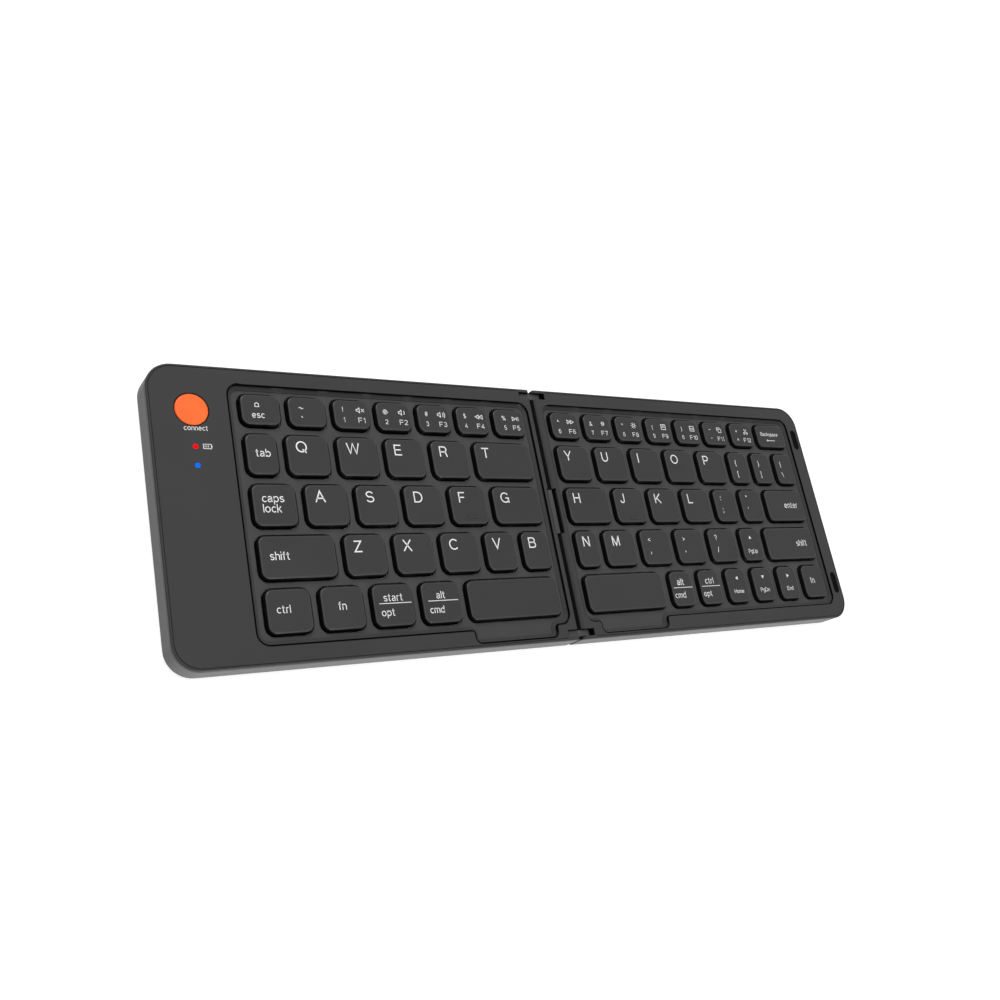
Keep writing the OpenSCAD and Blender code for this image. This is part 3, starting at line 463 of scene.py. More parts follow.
# Homing bars on two keys: their boxes, and their rounded section as distance outwards and height
homing = {
    "bars": {"left f": (-39.9, -36.0, -2.9, -2.1), "right j": (35.9, 39.7, -4.0, -3.2)},
    "radius": 0.38, "steps": 5, "section": [(0.1, 10.88), (0.06, 11.02), (-0.08, 11.12), (-0.25, 11.14)],
}


def homingBar(box):
    # Rounded rectangles stacked along the section, the lowest band near black like the flanks, as painted shade
    rings = stacked(box, homing["radius"], homing["steps"], homing["section"])
    points, faces = loft(rings)
    kinds = np.zeros(len(faces), int)
    kinds[:len(rings[0])] = 1
    return points, faces, kinds


keyShapes = {}
for key, box in keys.items():
    keyShapes.setdefault(keyNode(key), []).append(keycapShape(box))
    if key in homing["bars"]:
        keyShapes[keyNode(key)].append(homingBar(homing["bars"][key]))
for node, shapes in keyShapes.items():
    points, faces, kinds = joined(shapes)
    # The tops take the lacquer, the flanks its near-black copy as painted shade, the rims its lighter copy as a
    # painted highlight
    caps = newPiece("keycap_" + node, points, faces, node, ["keyLacquer", "flankShadeAbs", "rimHighlightLacquer"],
                    kinds)
    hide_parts(node)
    dress(node, "keyLacquer")
print("keycaps: %d on %d bodies" % (len(keys), len(keyShapes)))


# Rubber domes and scissor arms under each key, on their half
spring = {
    "dome": [(2.3, 6.9), (2.9, 6.9), (2.9, 7.25), (2.4, 7.5), (1.55, 9.3), (1.5, 9.9), (1.3, 10.0), (0.4, 10.0)],
    "reach": 4.6, "wall": 1.4, "inset": 0.25, "arm": 0.55, "rod": 0.6, "foot": 6.95, "head": 10.0, "base": 6.9,
    "steps": 14, "keep": 0.53,
    "pairFrom": 7.5,  # a key four times as long stands on two pairs of arms
}


def turned(profile, x, y, steps):
    # A profile of radius and height turned round an upright axis: one circle of points for each of its corners
    angles = np.linspace(0, 2 * np.pi, steps, endpoint=False)
    ring = np.column_stack([np.cos(angles), np.sin(angles)])
    return [raised(ring * r + (x, y), z) for r, z in profile]


def prism(corners, y0, y1):
    # An outline in x and z drawn out along y; its corners run clockwise seen from the front
    x, z = np.array(corners, float).T
    return loft([np.column_stack([x, np.full(len(x), y), z]) for y in (y0, y1)])


def scissorShapes(x, box):
    # Two crossed bars on each side of the dome and a rod across at each of their ends
    x0, x1, y0, y1 = box
    reach = min(spring["reach"], (x1 - x0) / 2 - spring["wall"])
    low, high, bar = spring["foot"], spring["head"], spring["rod"]
    outer = (y1 - y0) / 2 - spring["wall"] + spring["inset"]
    middle = (y0 + y1) / 2
    shapes = []
    for way in (1, -1):
        corners = [(-reach, low), (-reach, low + bar), (reach - bar, high), (reach, high), (reach, high - bar),
                   (bar - reach, low)]
        corners = [(x + way * u, v) for u, v in corners][::way]
        for y in (middle - outer, middle + outer - spring["arm"]):
            shapes.append(prism(corners, y, y + spring["arm"]))
        for z in (low, high - bar):
            start = x + min(way * reach, way * (reach - bar))
            corners = [(start, z), (start, z + bar), (start + bar, z + bar), (start + bar, z)]
            shapes.append(prism(corners, middle - outer, middle + outer))
    return shapes


springs = {}
for key, box in keys.items():
    domes, arms = springs.setdefault((key.split(" ")[0], keyNode(key)), ([], []))
    centre = (box[0] + box[1]) / 2
    domes.append(loft(turned(spring["dome"], centre, (box[2] + box[3]) / 2, spring["steps"])))
    spread = (box[1] - box[0]) / 4
    for x in ((centre - spread, centre + spread) if spread > spring["pairFrom"] else (centre,)):
        arms += scissorShapes(x, box)
for (side, node), (domes, arms) in springs.items():
    for name, shapes, slot, finish in (("domes", domes, "silicone", "domeSilicone"),
                                       ("scissors", arms, "acetal", "acetalArms")):
        points, faces, _ = joined(shapes)
        piece = newPiece(name + "_" + node, points, faces, side + "_half", [finish],
                         smooth=name == "domes")
        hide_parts(side + "_" + name)
        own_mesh(piece)
print("springs: %d groups" % len(springs))


# Connect button, turned from radius and height, and a black ring round it that paints the shade of its gap
button = {
    "x": -136, "y": 34.2, "steps": 96,
    "profile": [(1.5, 7.3), (1.5, 8.5), (6.22, 8.5), (6.22, 9.1), (5.42, 9.1), (5.42, 10.6), (5.36, 10.76),
                (5.22, 10.87), (5.0, 10.92), (4.2, 10.96), (3, 11.0), (1.6, 11.03), (0.3, 11.04)],
    "joint": [(5.58, 10.812), (5.58, 10.79), (5.75, 10.79), (5.75, 10.812)],
}
points, faces = loft(turned(button["profile"], button["x"], button["y"], button["steps"]))
cap = newPiece("button_cap", points, faces, "connect_button", ["buttonAbs"])
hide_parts("connect_button")
# A black ring on the deck round the button: painted shade of the gap
points, faces = hoop(turned(button["joint"], button["x"], button["y"], button["steps"]))
newPiece("button_gap_shade", points, faces, "left_half", ["shadeSheetBlack"], smooth=False)
# Light guides in front of the button, turned like it: each one's place in y and its finish
lens = {
    "steps": 32,
    "profile": [(0.7, 4.6), (0.75, 4.7), (0.75, 8.6), (1.3, 8.6), (1.35, 8.7), (1.35, 9.15), (0.75, 9.18),
                (0.75, 10.81), (0.87, 10.81), (0.85, 10.85), (0.7, 10.9), (0.45, 10.93), (0.15, 10.94)],
    "battery": (21.5, "redAcrylic"), "wireless": (15.1, "blueAcrylic"),
}
for name in ("battery", "wireless"):
    y, finish = lens[name]
    points, faces = loft(turned(lens["profile"], button["x"], y, lens["steps"]))
    guide = newPiece("lens_" + name, points, faces, "left_half", [finish])
    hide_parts("status_lights")
print("button and lights")


# Flex cable: one stretch on the left half and two across the hinge
flex = {
    "wide": 12, "thick": 0.12, "level": 3.45, "end": -124.5, "turn": 7, "flat": 9, "rise": 13.7, "bend": 2,
    "top": 6.6, "steps": 12, "seamSteps": 15, "bendSteps": 7,
    "axisGap": (0.5, 5.5),  # distances from the middle round each axis, given with the bodies of the two stretches across the hinge
}


def flexStrip(line):
    # A middle line in x and z given the cable's width in y and its thickness across the line
    points = np.array(line, float)
    along = np.gradient(points, axis=0)
    along /= np.linalg.norm(along, axis=1, keepdims=True)
    across = np.column_stack([-along[:, 1], along[:, 0]]) * flex["thick"] / 2
    corners = []
    for side, way in ((-1, -1), (-1, 1), (1, 1), (1, -1)):
        edge = points + across * way
        corners.append(np.column_stack([edge[:, 0], np.full(len(edge), side * flex["wide"] / 2), edge[:, 1]]))
    return loft(list(np.stack(corners, 1)[::-1]))


def levelLine(start, end, count):
    # Evenly spaced points along x at the cable's level
    return [(x, level) for x in np.linspace(start, end, count)]


level = flex["level"] + flex["thick"] / 2
near, far = flex["axisGap"]
curve = np.radians(np.linspace(-90, 0, flex["bendSteps"]))
rise = np.column_stack([flex["rise"] - flex["bend"] * (1 - np.cos(curve)),
                        level + flex["bend"] * (1 + np.sin(curve))])
# Each stretch: the body or bodies that it goes with, and its middle line in x and z
stretches = {
    "flex_left": ("left_half", levelLine(flex["end"], -flex["turn"], flex["steps"])),
    "flex_seam_left": (("left_half", "hinge_link", -far, -near),
                       levelLine(-flex["turn"], 0, flex["seamSteps"])),
    "flex_seam_right": (("hinge_link", "right_half", near, far),
                        levelLine(0, flex["turn"], flex["seamSteps"]) + [(flex["flat"], level)] + rise.tolist()
                        + [(flex["rise"], flex["top"])]),
}
for name, (body, line) in stretches.items():
    points, faces = flexStrip(line)
    piece = newPiece(name, points, faces, body, ["amberFilm"], smooth=False)
    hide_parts("flex_cable")
print("flex cable")


# Printed legends: heights, the width of icon lines, and how letters are weighted and spaced
legend = {"level": 10.9, "thick": 0.015, "deckLevel": 10.8, "line": 0.25, "weight": 0.112, "thinnest": 0.2,
          "space": 0.17, "word": 0.3}


def bow(x, y, rx, ry, start, end):
    # Points on an oval round x, y from one angle to the other, one for every 20 degrees or so
    angles = np.radians(np.linspace(start, end, int(abs(end - start) / 20) + 2))
    return np.column_stack([x + rx * np.cos(angles), y + ry * np.sin(angles)]).tolist()


# Each sign as the middle lines of its strokes, in hundredths of the height of a capital, its left edge at 0
stem, farStem, lowStem = [(5, 0), (5, 100)], [(73, 0), (73, 100)], [(5, 0), (5, 72)]
bowl, leftBowl, fullBowl = (bow(x, 36.5, r, 31, 0, 360) for x, r in ((31, 25), (29, 25), (32, 27)))
arch = [(5, 45)] + bow(28, 45, 22, 23, 180, 0) + [(50, 0)]
roundCapital = bow(49, 50, 44, 45, 0, 360)
alphabet = {
    "A": [[(3, 0), (45, 97), (87, 0)], [(17, 34), (73, 34)]],
    "B": [[(5, 53), (46, 53)] + bow(46, 74, 23, 21, -90, 90) + [(5, 95), (5, 5)]
          + [(48, 5)] + bow(48, 29, 26, 24, -90, 90)],
    "C": [bow(48, 50, 43, 45, 42, 318)],
    "D": [[(5, 5), (5, 95), (38, 95)] + bow(38, 50, 42, 45, 90, -90) + [(5, 5)]],
    "E": [[(69, 95), (5, 95), (5, 5), (71, 5)], [(5, 52), (65, 52)]],
    "F": [[(66, 95), (5, 95), (5, 0)], [(5, 50), (58, 50)]],
    "G": [bow(48, 50, 43, 45, 42, 325) + [(86, 46), (52, 46)], [(86, 30), (86, 0)]],
    "H": [stem, farStem, [(5, 52), (73, 52)]],
    "I": [stem],
    "J": [[(49, 100), (49, 28)] + bow(27, 28, 22, 23, 0, -180)],
    "K": [stem, [(74, 100), (7, 32)], [(30, 55), (78, 0)]],
    "L": [[(5, 100), (5, 5), (62, 5)]],
    "M": [stem, [(7, 96), (44, 4), (81, 96)], [(83, 0), (83, 100)]],
    "N": [stem, [(7, 97), (71, 3)], farStem],
    "O": [roundCapital],
    "P": [[(5, 0), (5, 95), (45, 95)] + bow(45, 70, 25, 25, 90, -90) + [(5, 45)]],
    "Q": [roundCapital, [(56, 28), (90, -2)]],
    "R": [[(5, 0), (5, 95), (47, 95)] + bow(47, 71, 24, 24, 90, -90) + [(5, 47)],
          [(46, 47), (64, 38), (70, 12), (76, 0)]],
    "S": [bow(38, 72, 30, 23, 20, 255) + bow(40, 28, 33, 23, 75, -160)],
    "T": [[(0, 95), (78, 95)], [(39, 95), (39, 0)]],
    "U": [[(5, 100), (5, 35)] + bow(39, 35, 34, 30, 180, 360) + [(73, 100)]],
    "V": [[(3, 100), (42, 3), (81, 100)]],
    "W": [[(3, 100), (31, 4), (60, 96), (89, 4), (117, 100)]],
    "X": [[(4, 100), (78, 0)], [(76, 100), (2, 0)]],
    "Y": [[(3, 100), (41, 42), (79, 100)], [(41, 42), (41, 0)]],
    "Z": [[(4, 95), (68, 95), (6, 5), (72, 5)]],
    "a": [bow(27, 49, 21, 19, 160, 0) + [(48, 10), (54, 4)],
          [(48, 42), (24, 37)] + bow(22, 21, 17, 16, 90, 290) + [(48, 20)]],
    "b": [stem, bowl],
    "c": [bow(31, 36.5, 26, 31, 45, 315)],
    "d": [leftBowl, [(55, 0), (55, 100)]],
    "e": [[(6, 37), (56, 37)] + bow(31, 36.5, 25, 31, 0, 318)],
    "f": [[(16, 0), (16, 80)] + bow(31, 80, 15, 15, 180, 90), [(0, 68), (32, 68)]],
    "g": [leftBowl, [(55, 72), (55, -3)] + bow(30, -3, 25, 20, 0, -155)],
    "h": [stem, arch],
    "i": [lowStem, [(5, 87), (5, 100)]],
    "k": [stem, [(49, 72), (6, 28)], [(20, 42), (52, 0)]],
    "l": [stem],
    "m": [lowStem] + [[(x, 50)] + bow(x + 19, 50, 19, 18, 180, 0) + [(x + 38, 0)] for x in (5, 43)],
    "n": [lowStem, arch],
    "o": [fullBowl],
    "p": [[(5, -28), (5, 72)], bowl],
    "r": [lowStem, [(5, 45)] + bow(27, 45, 21, 23, 180, 80)],
    "s": [bow(26, 52, 19, 15.5, 20, 250) + bow(27, 21, 21, 15.5, 75, -160)],
    "t": [[(16, 92), (16, 18)] + bow(29, 18, 13, 13, 180, 270) + [(36, 5)], [(0, 68), (34, 68)]],
    "0": [bow(30, 50, 25, 45, 0, 360)],
    "1": [[(6, 76), (22, 80), (30, 100), (30, 0)]],
    "2": [bow(30, 69, 24, 26, 165, -35) + [(6, 5), (57, 5)]],
    "3": [bow(29, 73, 21, 22, 160, -80) + bow(29, 28, 25, 23, 80, -160)],
    "4": [[(44, 0), (44, 95), (5, 27), (60, 27)]],
    "5": [[(52, 95), (15, 95), (9, 50)] + bow(29, 32, 26, 27, 120, -150)],
    "6": [bow(31, 33, 25, 28, 0, 360), [(6, 35)] + bow(33, 50, 27, 45, 180, 45)],
    "7": [[(4, 95), (56, 95), (22, 0)]],
    "8": [bow(30, 73, 20, 22, 0, 360), bow(30, 28, 25, 23, 0, 360)],
    "9": [bow(29, 67, 25, 28, 0, 360), [(54, 65)] + bow(27, 50, 27, 45, 0, -135)],
    "~": [[(0, 40)] + bow(16, 42, 16, 12, 160, 20) + bow(47, 46, 16, 12, 200, 340) + [(64, 48)]],
    "`": [[(5, 100), (25, 75)]],
    "!": [[(5, 27), (5, 100)], [(5, 0), (5, 13)]],
    "@": [bow(50, 42, 45, 47, -60, 285), bow(48, 42, 20, 22, 0, 360)],
    "#": [[(16, 0), (28, 98)], [(42, 0), (54, 98)], [(4, 66), (68, 66)], [(0, 34), (64, 34)]],
    "$": [bow(28, 70, 23, 20, 20, 255) + bow(30, 29, 25, 20, 75, -160), [(29, -10), (29, 110)]],
    "%": [bow(18, 76, 14, 19, 0, 360), bow(74, 24, 14, 19, 0, 360), [(70, 100), (22, 0)]],
    "^": [[(5, 55), (27, 97), (49, 55)]],
    "&": [[(74, 0), (20, 64)] + bow(33, 79, 16, 16, 220, -30) + [(14, 40)]
          + bow(28, 25, 22, 20, 140, 300) + [(68, 45)]],
    "*": [[(20, 60), (20, 100)], [(3, 70), (37, 90)], [(3, 90), (37, 70)]],
    "(": [bow(35, 40, 30, 62, 110, 250)],
    ")": [bow(0, 40, 30, 62, 70, -70)],
    "_": [[(0, 5), (60, 5)]],
    "-": [[(0, 36), (36, 36)]],
    "+": [[(0, 40), (56, 40)], [(28, 12), (28, 68)]],
    "=": [[(0, 50), (56, 50)], [(0, 25), (56, 25)]],
    "{": [[(30, 100), (18, 94), (16, 55), (4, 40), (16, 25), (18, -14), (30, -20)]],
    "}": [[(4, 100), (16, 94), (18, 55), (30, 40), (18, 25), (16, -14), (4, -20)]],
    "[": [[(24, 100), (5, 100), (5, -20), (24, -20)]],
    "]": [[(0, 100), (19, 100), (19, -20), (0, -20)]],
    "|": [[(5, 100), (5, -20)]],
    "\\": [[(3, 100), (33, 0)]],
    "/": [[(33, 100), (3, 0)]],
    ":": [[(7, 0), (7, 20)], [(7, 55), (7, 75)]],
    ";": [[(12, 22), (12, 0), (2, -20)], [(9, 55), (9, 75)]],
    "\"": [[(5, 70), (5, 100)], [(25, 70), (25, 100)]],
    "'": [[(5, 70), (5, 100)]],
    "<": [[(55, 68), (4, 40), (55, 12)]],
    ">": [[(4, 68), (55, 40), (4, 12)]],
    ",": [[(12, 22), (12, 0), (2, -20)]],
    ".": [[(5, 2), (12, 2), (12, 18), (5, 18), (5, 2)]],
    "?": [bow(29, 74, 24, 22, 175, -40) + [(30, 42), (30, 27)], [(30, 0), (30, 13)]],
}


def ribbon(line, width):
    # A polyline as a flat band: each point goes sideways by half the width along the mean normal of its two
    # stretches, lengthened so that the band keeps its width round the bend, up to a limit in sharp ones
    same, sharp = 1e-5, 0.3
    points = np.array(line, float)
    points = points[np.append(True, np.linalg.norm(np.diff(points, axis=0), axis=1) > same)]
    along = np.diff(points, axis=0)
    along /= np.linalg.norm(along, axis=1, keepdims=True)
    normals = np.column_stack([-along[:, 1], along[:, 0]])
    closed = np.allclose(points[0], points[-1])
    before = np.vstack([normals[-1:] if closed else normals[:1], normals])
    after = np.vstack([normals, normals[:1] if closed else normals[-1:]])
    mean = (before + after) / np.maximum(1 + (before * after).sum(1, keepdims=True), sharp)
    count = len(points)
    index = np.arange(count - 1)
    faces = np.column_stack([index, index + 1, index + 1 + count, index + count])
    return np.concatenate([points - mean * width / 2, points + mean * width / 2]), faces.tolist()


def strokes(lines, x, y, width):
    # Lines drawn as bands and moved to their place
    shapes = [ribbon(line, width) for line in lines]
    return [(points + np.array([x, y]), faces) for points, faces in shapes]


def placedWord(word, x, y, cap, align="left", wide=1):
    # The signs side by side, scaled to the capital height, drawn out to the width, and moved so that the ink
    # starts, ends or centres at x
    lines, pen = [], 0
    for sign in word:
        if sign == " ":
            pen += legend["word"]
            continue
        sketch = [np.array(line) / 100 for line in alphabet[sign]]
        lines += [line + np.array([pen, 0]) for line in sketch]
        pen = max(line[:, 0].max() for line in lines) + legend["space"]
    lines = [line * cap * (wide, 1) for line in lines]
    low = min(line[:, 0].min() for line in lines)
    high = max(line[:, 0].max() for line in lines)
    shift = {"left": low, "centre": (low + high) / 2, "right": high}[align]
    return strokes(lines, x - shift, y, max(legend["weight"] * cap, legend["thinnest"]))


def filled(outline, x, y):
    # One flat face inside an outline, moved to its place
    points = np.array(outline, float) + np.array([x, y])
    return [(points, [list(range(len(points)))])]


def circle(radius, x=0, y=0, start=0, end=360):
    # A bow of one radius, whole unless its angles say otherwise
    return bow(x, y, radius, radius, start, end)


def printed(flats, level):
    # Flat outlines become thin closed plates: the outline twice, and a wall round each open edge
    shapes = []
    for points, faces in flats:
        count = len(points)
        low, high = raised(points, level), raised(points, level + legend["thick"])
        pairs = {(a, b) for face in faces for a, b in zip(face, face[1:] + face[:1])}
        walls = [[a, b, b + count, a + count] for a, b in sorted(pairs) if (b, a) not in pairs]
        tops = [[v + count for v in face] for face in faces]
        shapes.append((np.concatenate([low, high]), [face[::-1] for face in faces] + tops + walls))
    return joined(shapes)


# Icons in millimetres round their middles
speaker = [[(-1.6, -0.35), (-1.6, 0.35), (-1.1, 0.35), (-0.4, 0.95), (-0.4, -0.95), (-1.1, -0.35), (-1.6, -0.35)]]
leftTriangles = [[(0, 0.75), (-1.5, 0), (0, -0.75), (0, 0.75)], [(1.6, 0.75), (0.1, 0), (1.6, -0.75), (1.6, 0.75)]]
rays = [[(np.cos(a) * 0.95, np.sin(a) * 0.95), (np.cos(a) * 1.35, np.sin(a) * 1.35)]
        for a in np.radians(np.arange(0, 360, 45))]
frameBox = [[(-1.2, -1.1), (1.2, -1.1), (1.2, 1.1), (-1.2, 1.1), (-1.2, -1.1)]]
icons = {
    "home": [[(-0.65, -0.65), (0.65, -0.65), (0.65, 0.35), (0, 0.75), (-0.65, 0.35), (-0.65, -0.65)]],
    "mute": speaker + [[(0.3, 0.55), (1.4, -0.55)], [(0.3, -0.55), (1.4, 0.55)]],
    "softer": speaker + [circle(0.9, -0.1, 0, -50, 50)],
    "louder": speaker + [circle(0.9, -0.1, 0, -50, 50), circle(1.6, -0.1, 0, -45, 45)],
    "back": leftTriangles,
    "ahead": [[(-x, y) for x, y in line] for line in leftTriangles],
    "play": [[(-1.5, 0.75), (0, 0), (-1.5, -0.75), (-1.5, 0.75)], [(0.5, 0.75), (0.5, -0.75)],
             [(1.2, 0.75), (1.2, -0.75)]],
    "dim": [circle(0.45)] + [[(x * 0.7, y * 0.7) for x, y in ray] for ray in rays],
    "bright": [circle(0.6)] + rays,
    "window": frameBox + [[(-1.2, 0), (1.2, 0)], [(-0.5, 0.55), (0.5, 0.55)]],
    "picture": frameBox + [[(-1.2, -0.6), (-0.4, 0.3), (0.3, -0.4), (0.8, 0.1), (1.2, -0.3)]],
    "copy": [[(-1.2, -0.4), (-1.2, 1.1), (0.5, 1.1), (0.5, 0.5)],
             [(-0.5, -1.1), (1.2, -1.1), (1.2, 0.5), (-0.5, 0.5), (-0.5, -1.1)]],
    "cut": [[(-0.8, 1.1), (0.55, -0.55)], [(0.8, 1.1), (-0.55, -0.55)], circle(0.42, -0.8, -0.85),
            circle(0.42, 0.8, -0.85)],
    "erase": [[(2.6, 0), (-2.6, 0)], [(-1.9, 0.5), (-2.6, 0), (-1.9, -0.5)]],
}
# Each entry: what, its distance from the key's left edge and front edge, its capital height, which end it lines
# up by and how much it is widened; a line has its length in place of the height, and an arrow or icon has neither
legends = {
    "left esc": [("icon home", 5.45, 6.9), ("esc", 5.6, 2.2, 2.3, "centre")],
    "left tab": [("tab", 2.95, 6.05, 2.75)],
    "left caps": [("caps", 3.2, 7.9, 2.85), ("lock", 3.2, 4.4, 2.85)],
    "left shift": [("shift", 3.4, 6.05, 2.75)],
    "left ctrl": [("ctrl", 3.3, 6.3, 2.6)],
    "left fn": [("fn", 5.7, 6.3, 2.75)],
    "left start": [("start", 4.0, 8.3, 2.6), ("line", 2.0, 7.6, 12), ("opt", 2.5, 3.3, 2.6)],
    "left alt": [("alt", 5.7, 8.3, 2.6), ("line", 2.1, 7.6, 11.8), ("cmd", 2.4, 3.3, 2.5)],
    "right minus": [("_", 3.8, 6.9, 1.7, "centre"), ("-", 3.8, 2.3, 1.9, "centre"), ("icon copy", 9.3, 6.9),
                    ("F11", 9.4, 1.85, 1.9, "centre", 1.2)],
    "right equals": [("+", 3.6, 6.1, 1.9, "centre"), ("=", 3.6, 2.2, 1.9, "centre"), ("icon cut", 9.3, 6.9),
                     ("F12", 9.4, 1.85, 1.9, "centre", 1.2)],
    "right back": [("Backspace", 8.0, 5.3, 1.75, "centre"), ("icon erase", 8.2, 3.1)],
    "right enter": [("enter", 19.2, 5.8, 2.8, "right")],
    "right up": [("up", 5.5, 10.1), ("PgUp", 5.5, 3.2, 1.7, "centre")],
    "right shift": [("shift", 25.1, 5.7, 2.75, "right")],
    "right alt": [("alt", 3.4, 8.4, 2.75), ("line", 0.95, 7.4, 10), ("cmd", 0.95, 3.2, 2.5)],
    "right ctrl": [("ctrl", 3.3, 8.4, 2.6), ("line", 0.85, 7.4, 10), ("opt", 1.1, 3.2, 2.4)],
    "right fn": [("fn", 4.0, 6.2, 2.6)],
}
for way, label in (("left", "Home"), ("down", "PgDn"), ("right", "End")):
    legends["right " + way] = [(way, 5.9, 10.1), (label, 5.6, 3.7, 1.7, "centre")]
# Keys with one sign over another: both signs, each with its place and its height
signPairs = {
    "left grave": ("~", 4.5, 5.6, 2.2, "`", 4.5, 1.4, 2.2),
    "right open": ("{", 3.7, 8.1, 2.3, "[", 3.7, 3.0, 2.3),
    "right close": ("}", 3.5, 8.1, 2.3, "]", 3.5, 3.0, 2.3),
    "right slash": ("|", 3.3, 8.1, 2.3, "\\", 3.3, 3.0, 2.3),
    "right semicolon": (":", 3.8, 9.3, 2.3, ";", 3.7, 4.0, 2.3),
    "right quote": ("\"", 3.8, 9.3, 2.3, "'", 3.4, 4.0, 2.3),
    "right comma": ("<", 4.3, 9.2, 2.1, ",", 3.9, 4.5, 2.3),
    "right stop": (">", 4.3, 9.2, 2.1, ".", 3.9, 4.5, 2.3),
    "right query": ("?", 4.0, 9.2, 2.3, "/", 3.9, 4.0, 2.3),
}
for key, pair in signPairs.items():
    legends[key] = [(*pair[:4], "centre"), (*pair[4:], "centre")]
# The number row: the sign over each digit, and the icon over its function label
shifted = {"left 1": ("!", "mute"), "left 2": ("@", "softer"), "left 3": ("#", "louder"), "left 4": ("$", "back"),
           "left 5": ("%", "play"), "right 6": ("^", "ahead"), "right 7": ("&", "dim"), "right 8": ("*", "bright"),
           "right 9": ("(", "window"), "right 0": (")", "picture")}
# Places of sign, digit, icon and label along the key, the usual ones and others; heights of the two lines, which
# drop a little on keys at the usual places; and the capital heights of sign and label, and the label's width
numberRow = {
    "usual": (3.4, 3.4, 9.5, 9.6),
    "left 1": (3.4, 3.5, 10.2, 10.25), "left 2": (3.4, 3.5, 10.3, 10.3), "left 3": (3.6, 3.5, 9.9, 10.1),
    "left 4": (3.5, 3.5, 9.6, 9.9), "left 5": (4.4, 4.5, 9.85, 9.6),
    "lines": (6.1, 2.2), "drop": 0.35, "icon": 6.9, "caps": (1.8, 1.9), "wide": 1.2,
}
for number, (key, (sign, icon)) in enumerate(shifted.items(), 1):
    signAt, digitAt, iconAt, labelAt = numberRow.get(key, numberRow["usual"])
    upper, lower = (line - (0 if key in numberRow else numberRow["drop"]) for line in numberRow["lines"])
    cap, labelCap = numberRow["caps"]
    legends[key] = [(sign, signAt, upper, cap, "centre"), (key.split(" ")[1], digitAt, lower, cap, "centre"),
                    ("icon " + icon, iconAt, numberRow["icon"]),
                    ("F%d" % number, labelAt, lower, labelCap, "centre", numberRow["wide"])]
# Letters: distance from the left edge in each half, line, capital height, and how far some stand off their place
letter = {
    "left": 3.4, "right": 3.1, "line": 7.95, "cap": 4.0,
    "nudge": {"m": 0.95, "b": -0.4, "v": -0.25, "s": 0.35, "t": -0.4, "d": 0.4, "f": 0.3, "i": 0.3},
}
for key in keys:
    side, name = key.split(" ")
    if keyNode(key) == "key_" + name:
        legends[key] = [(name.upper(), letter[side] + letter["nudge"].get(name, 0), letter["line"], letter["cap"])]
arrows = {"left": 90, "right": -90, "up": 0, "down": 180}  # turned by so many degrees
arrowHead = [(-0.8, -0.6), (0.8, -0.6), (0, 0.75)]


def legendFlats(key):
    # Everything printed on one key, as flat outlines in its place
    x0, _, y0, _ = keys[key]
    flats = []
    for entry in legends.get(key, []):
        word, x, y = entry[0], x0 + entry[1], y0 + entry[2]
        if word in arrows and len(entry) == 3:
            turn = np.radians(arrows[word])
            spin = np.array([[np.cos(turn), -np.sin(turn)], [np.sin(turn), np.cos(turn)]])
            flats += filled(np.array(arrowHead) @ spin.T, x, y)
        elif word.startswith("icon "):
            flats += strokes(icons[word[5:]], x, y, legend["line"])
        elif word == "line":
            flats += strokes([[(0, 0), (entry[3], 0)]], x, y, legend["line"])
        else:
            flats += placedWord(word, x, y, *entry[3:])
    return flats


inked = {}
for key in keys:
    inked.setdefault(keyNode(key), []).extend(legendFlats(key))
for node, flats in inked.items():
    if flats:
        points, faces, _ = printed(flats, legend["level"])
        newPiece("legend_" + node, points, faces, node, ["printInk"], smooth=False)
# On the deck: the button's word, and beside the red light a battery with its tip and three bars
deckPrint = {
    "word": ("connect", -139.05, 27.0, 1.7), "cell": (-132.2, 21.6), "half": (1.3, 0.75),
    "bars": [(1.5, 0.3), (-0.8, 0.35), (-0.2, 0.35), (0.4, 0.35)], "line": 0.2,
}
halfWide, halfHigh = deckPrint["half"]
cellLines = [[(halfWide * x, halfHigh * y) for x, y in ((-1, -1), (1, -1), (1, 1), (-1, 1), (-1, -1))]]
cellLines += [[(x, -h), (x, h)] for x, h in deckPrint["bars"]]
deckFlats = placedWord(*deckPrint["word"])
deckFlats += strokes(cellLines, *deckPrint["cell"], deckPrint["line"])
points, faces, _ = printed(deckFlats, legend["deckLevel"])
newPiece("legend_deck", points, faces, "left_half", ["printInk"], smooth=False)
print("legends: %d keys" % len(legends))


# Painted shade round the key wells, as black strips: the outline that both wells share, how far off it the strip
# on the deck lies, and by how many points the outline is turned on before the strip is cut out of it
well = {
    "front": -43.45, "rear": 43.95, "radius": 4, "start": 3.65, "notchStart": 10.6, "notchRim": 1.9,
    "notchRadius": 2, "notchTurn": 1.5, "edge": 50, "level": 10.8, "off": 0.14, "turns": 30,
    # Each half: where its well ends, its notch's length, the strip's width, which points of the outline it takes,
    # and the section of the black sheet that paints the wall's shade: distance outwards and height
    "left": {"end": 123.35, "notch": 34.6, "wide": 0.42, "from": 3, "to": 42,
             "wallShade": [(0.3, 10.812), (0.15, 10.812), (-0.02, 10.66), (-0.02, 9.95), (0.04, 9.95), (0.04, 10.6),
                        (0.15, 10.7), (0.3, 10.7)]},
    "right": {"end": 142.95, "notch": 32.8, "wide": 0.26, "from": 3, "to": 33,
              "wallShade": [(0.15, 10.812), (-0.02, 10.66), (-0.02, 9.95), (0.04, 9.95), (0.04, 10.6), (0.15, 10.7)]},
}


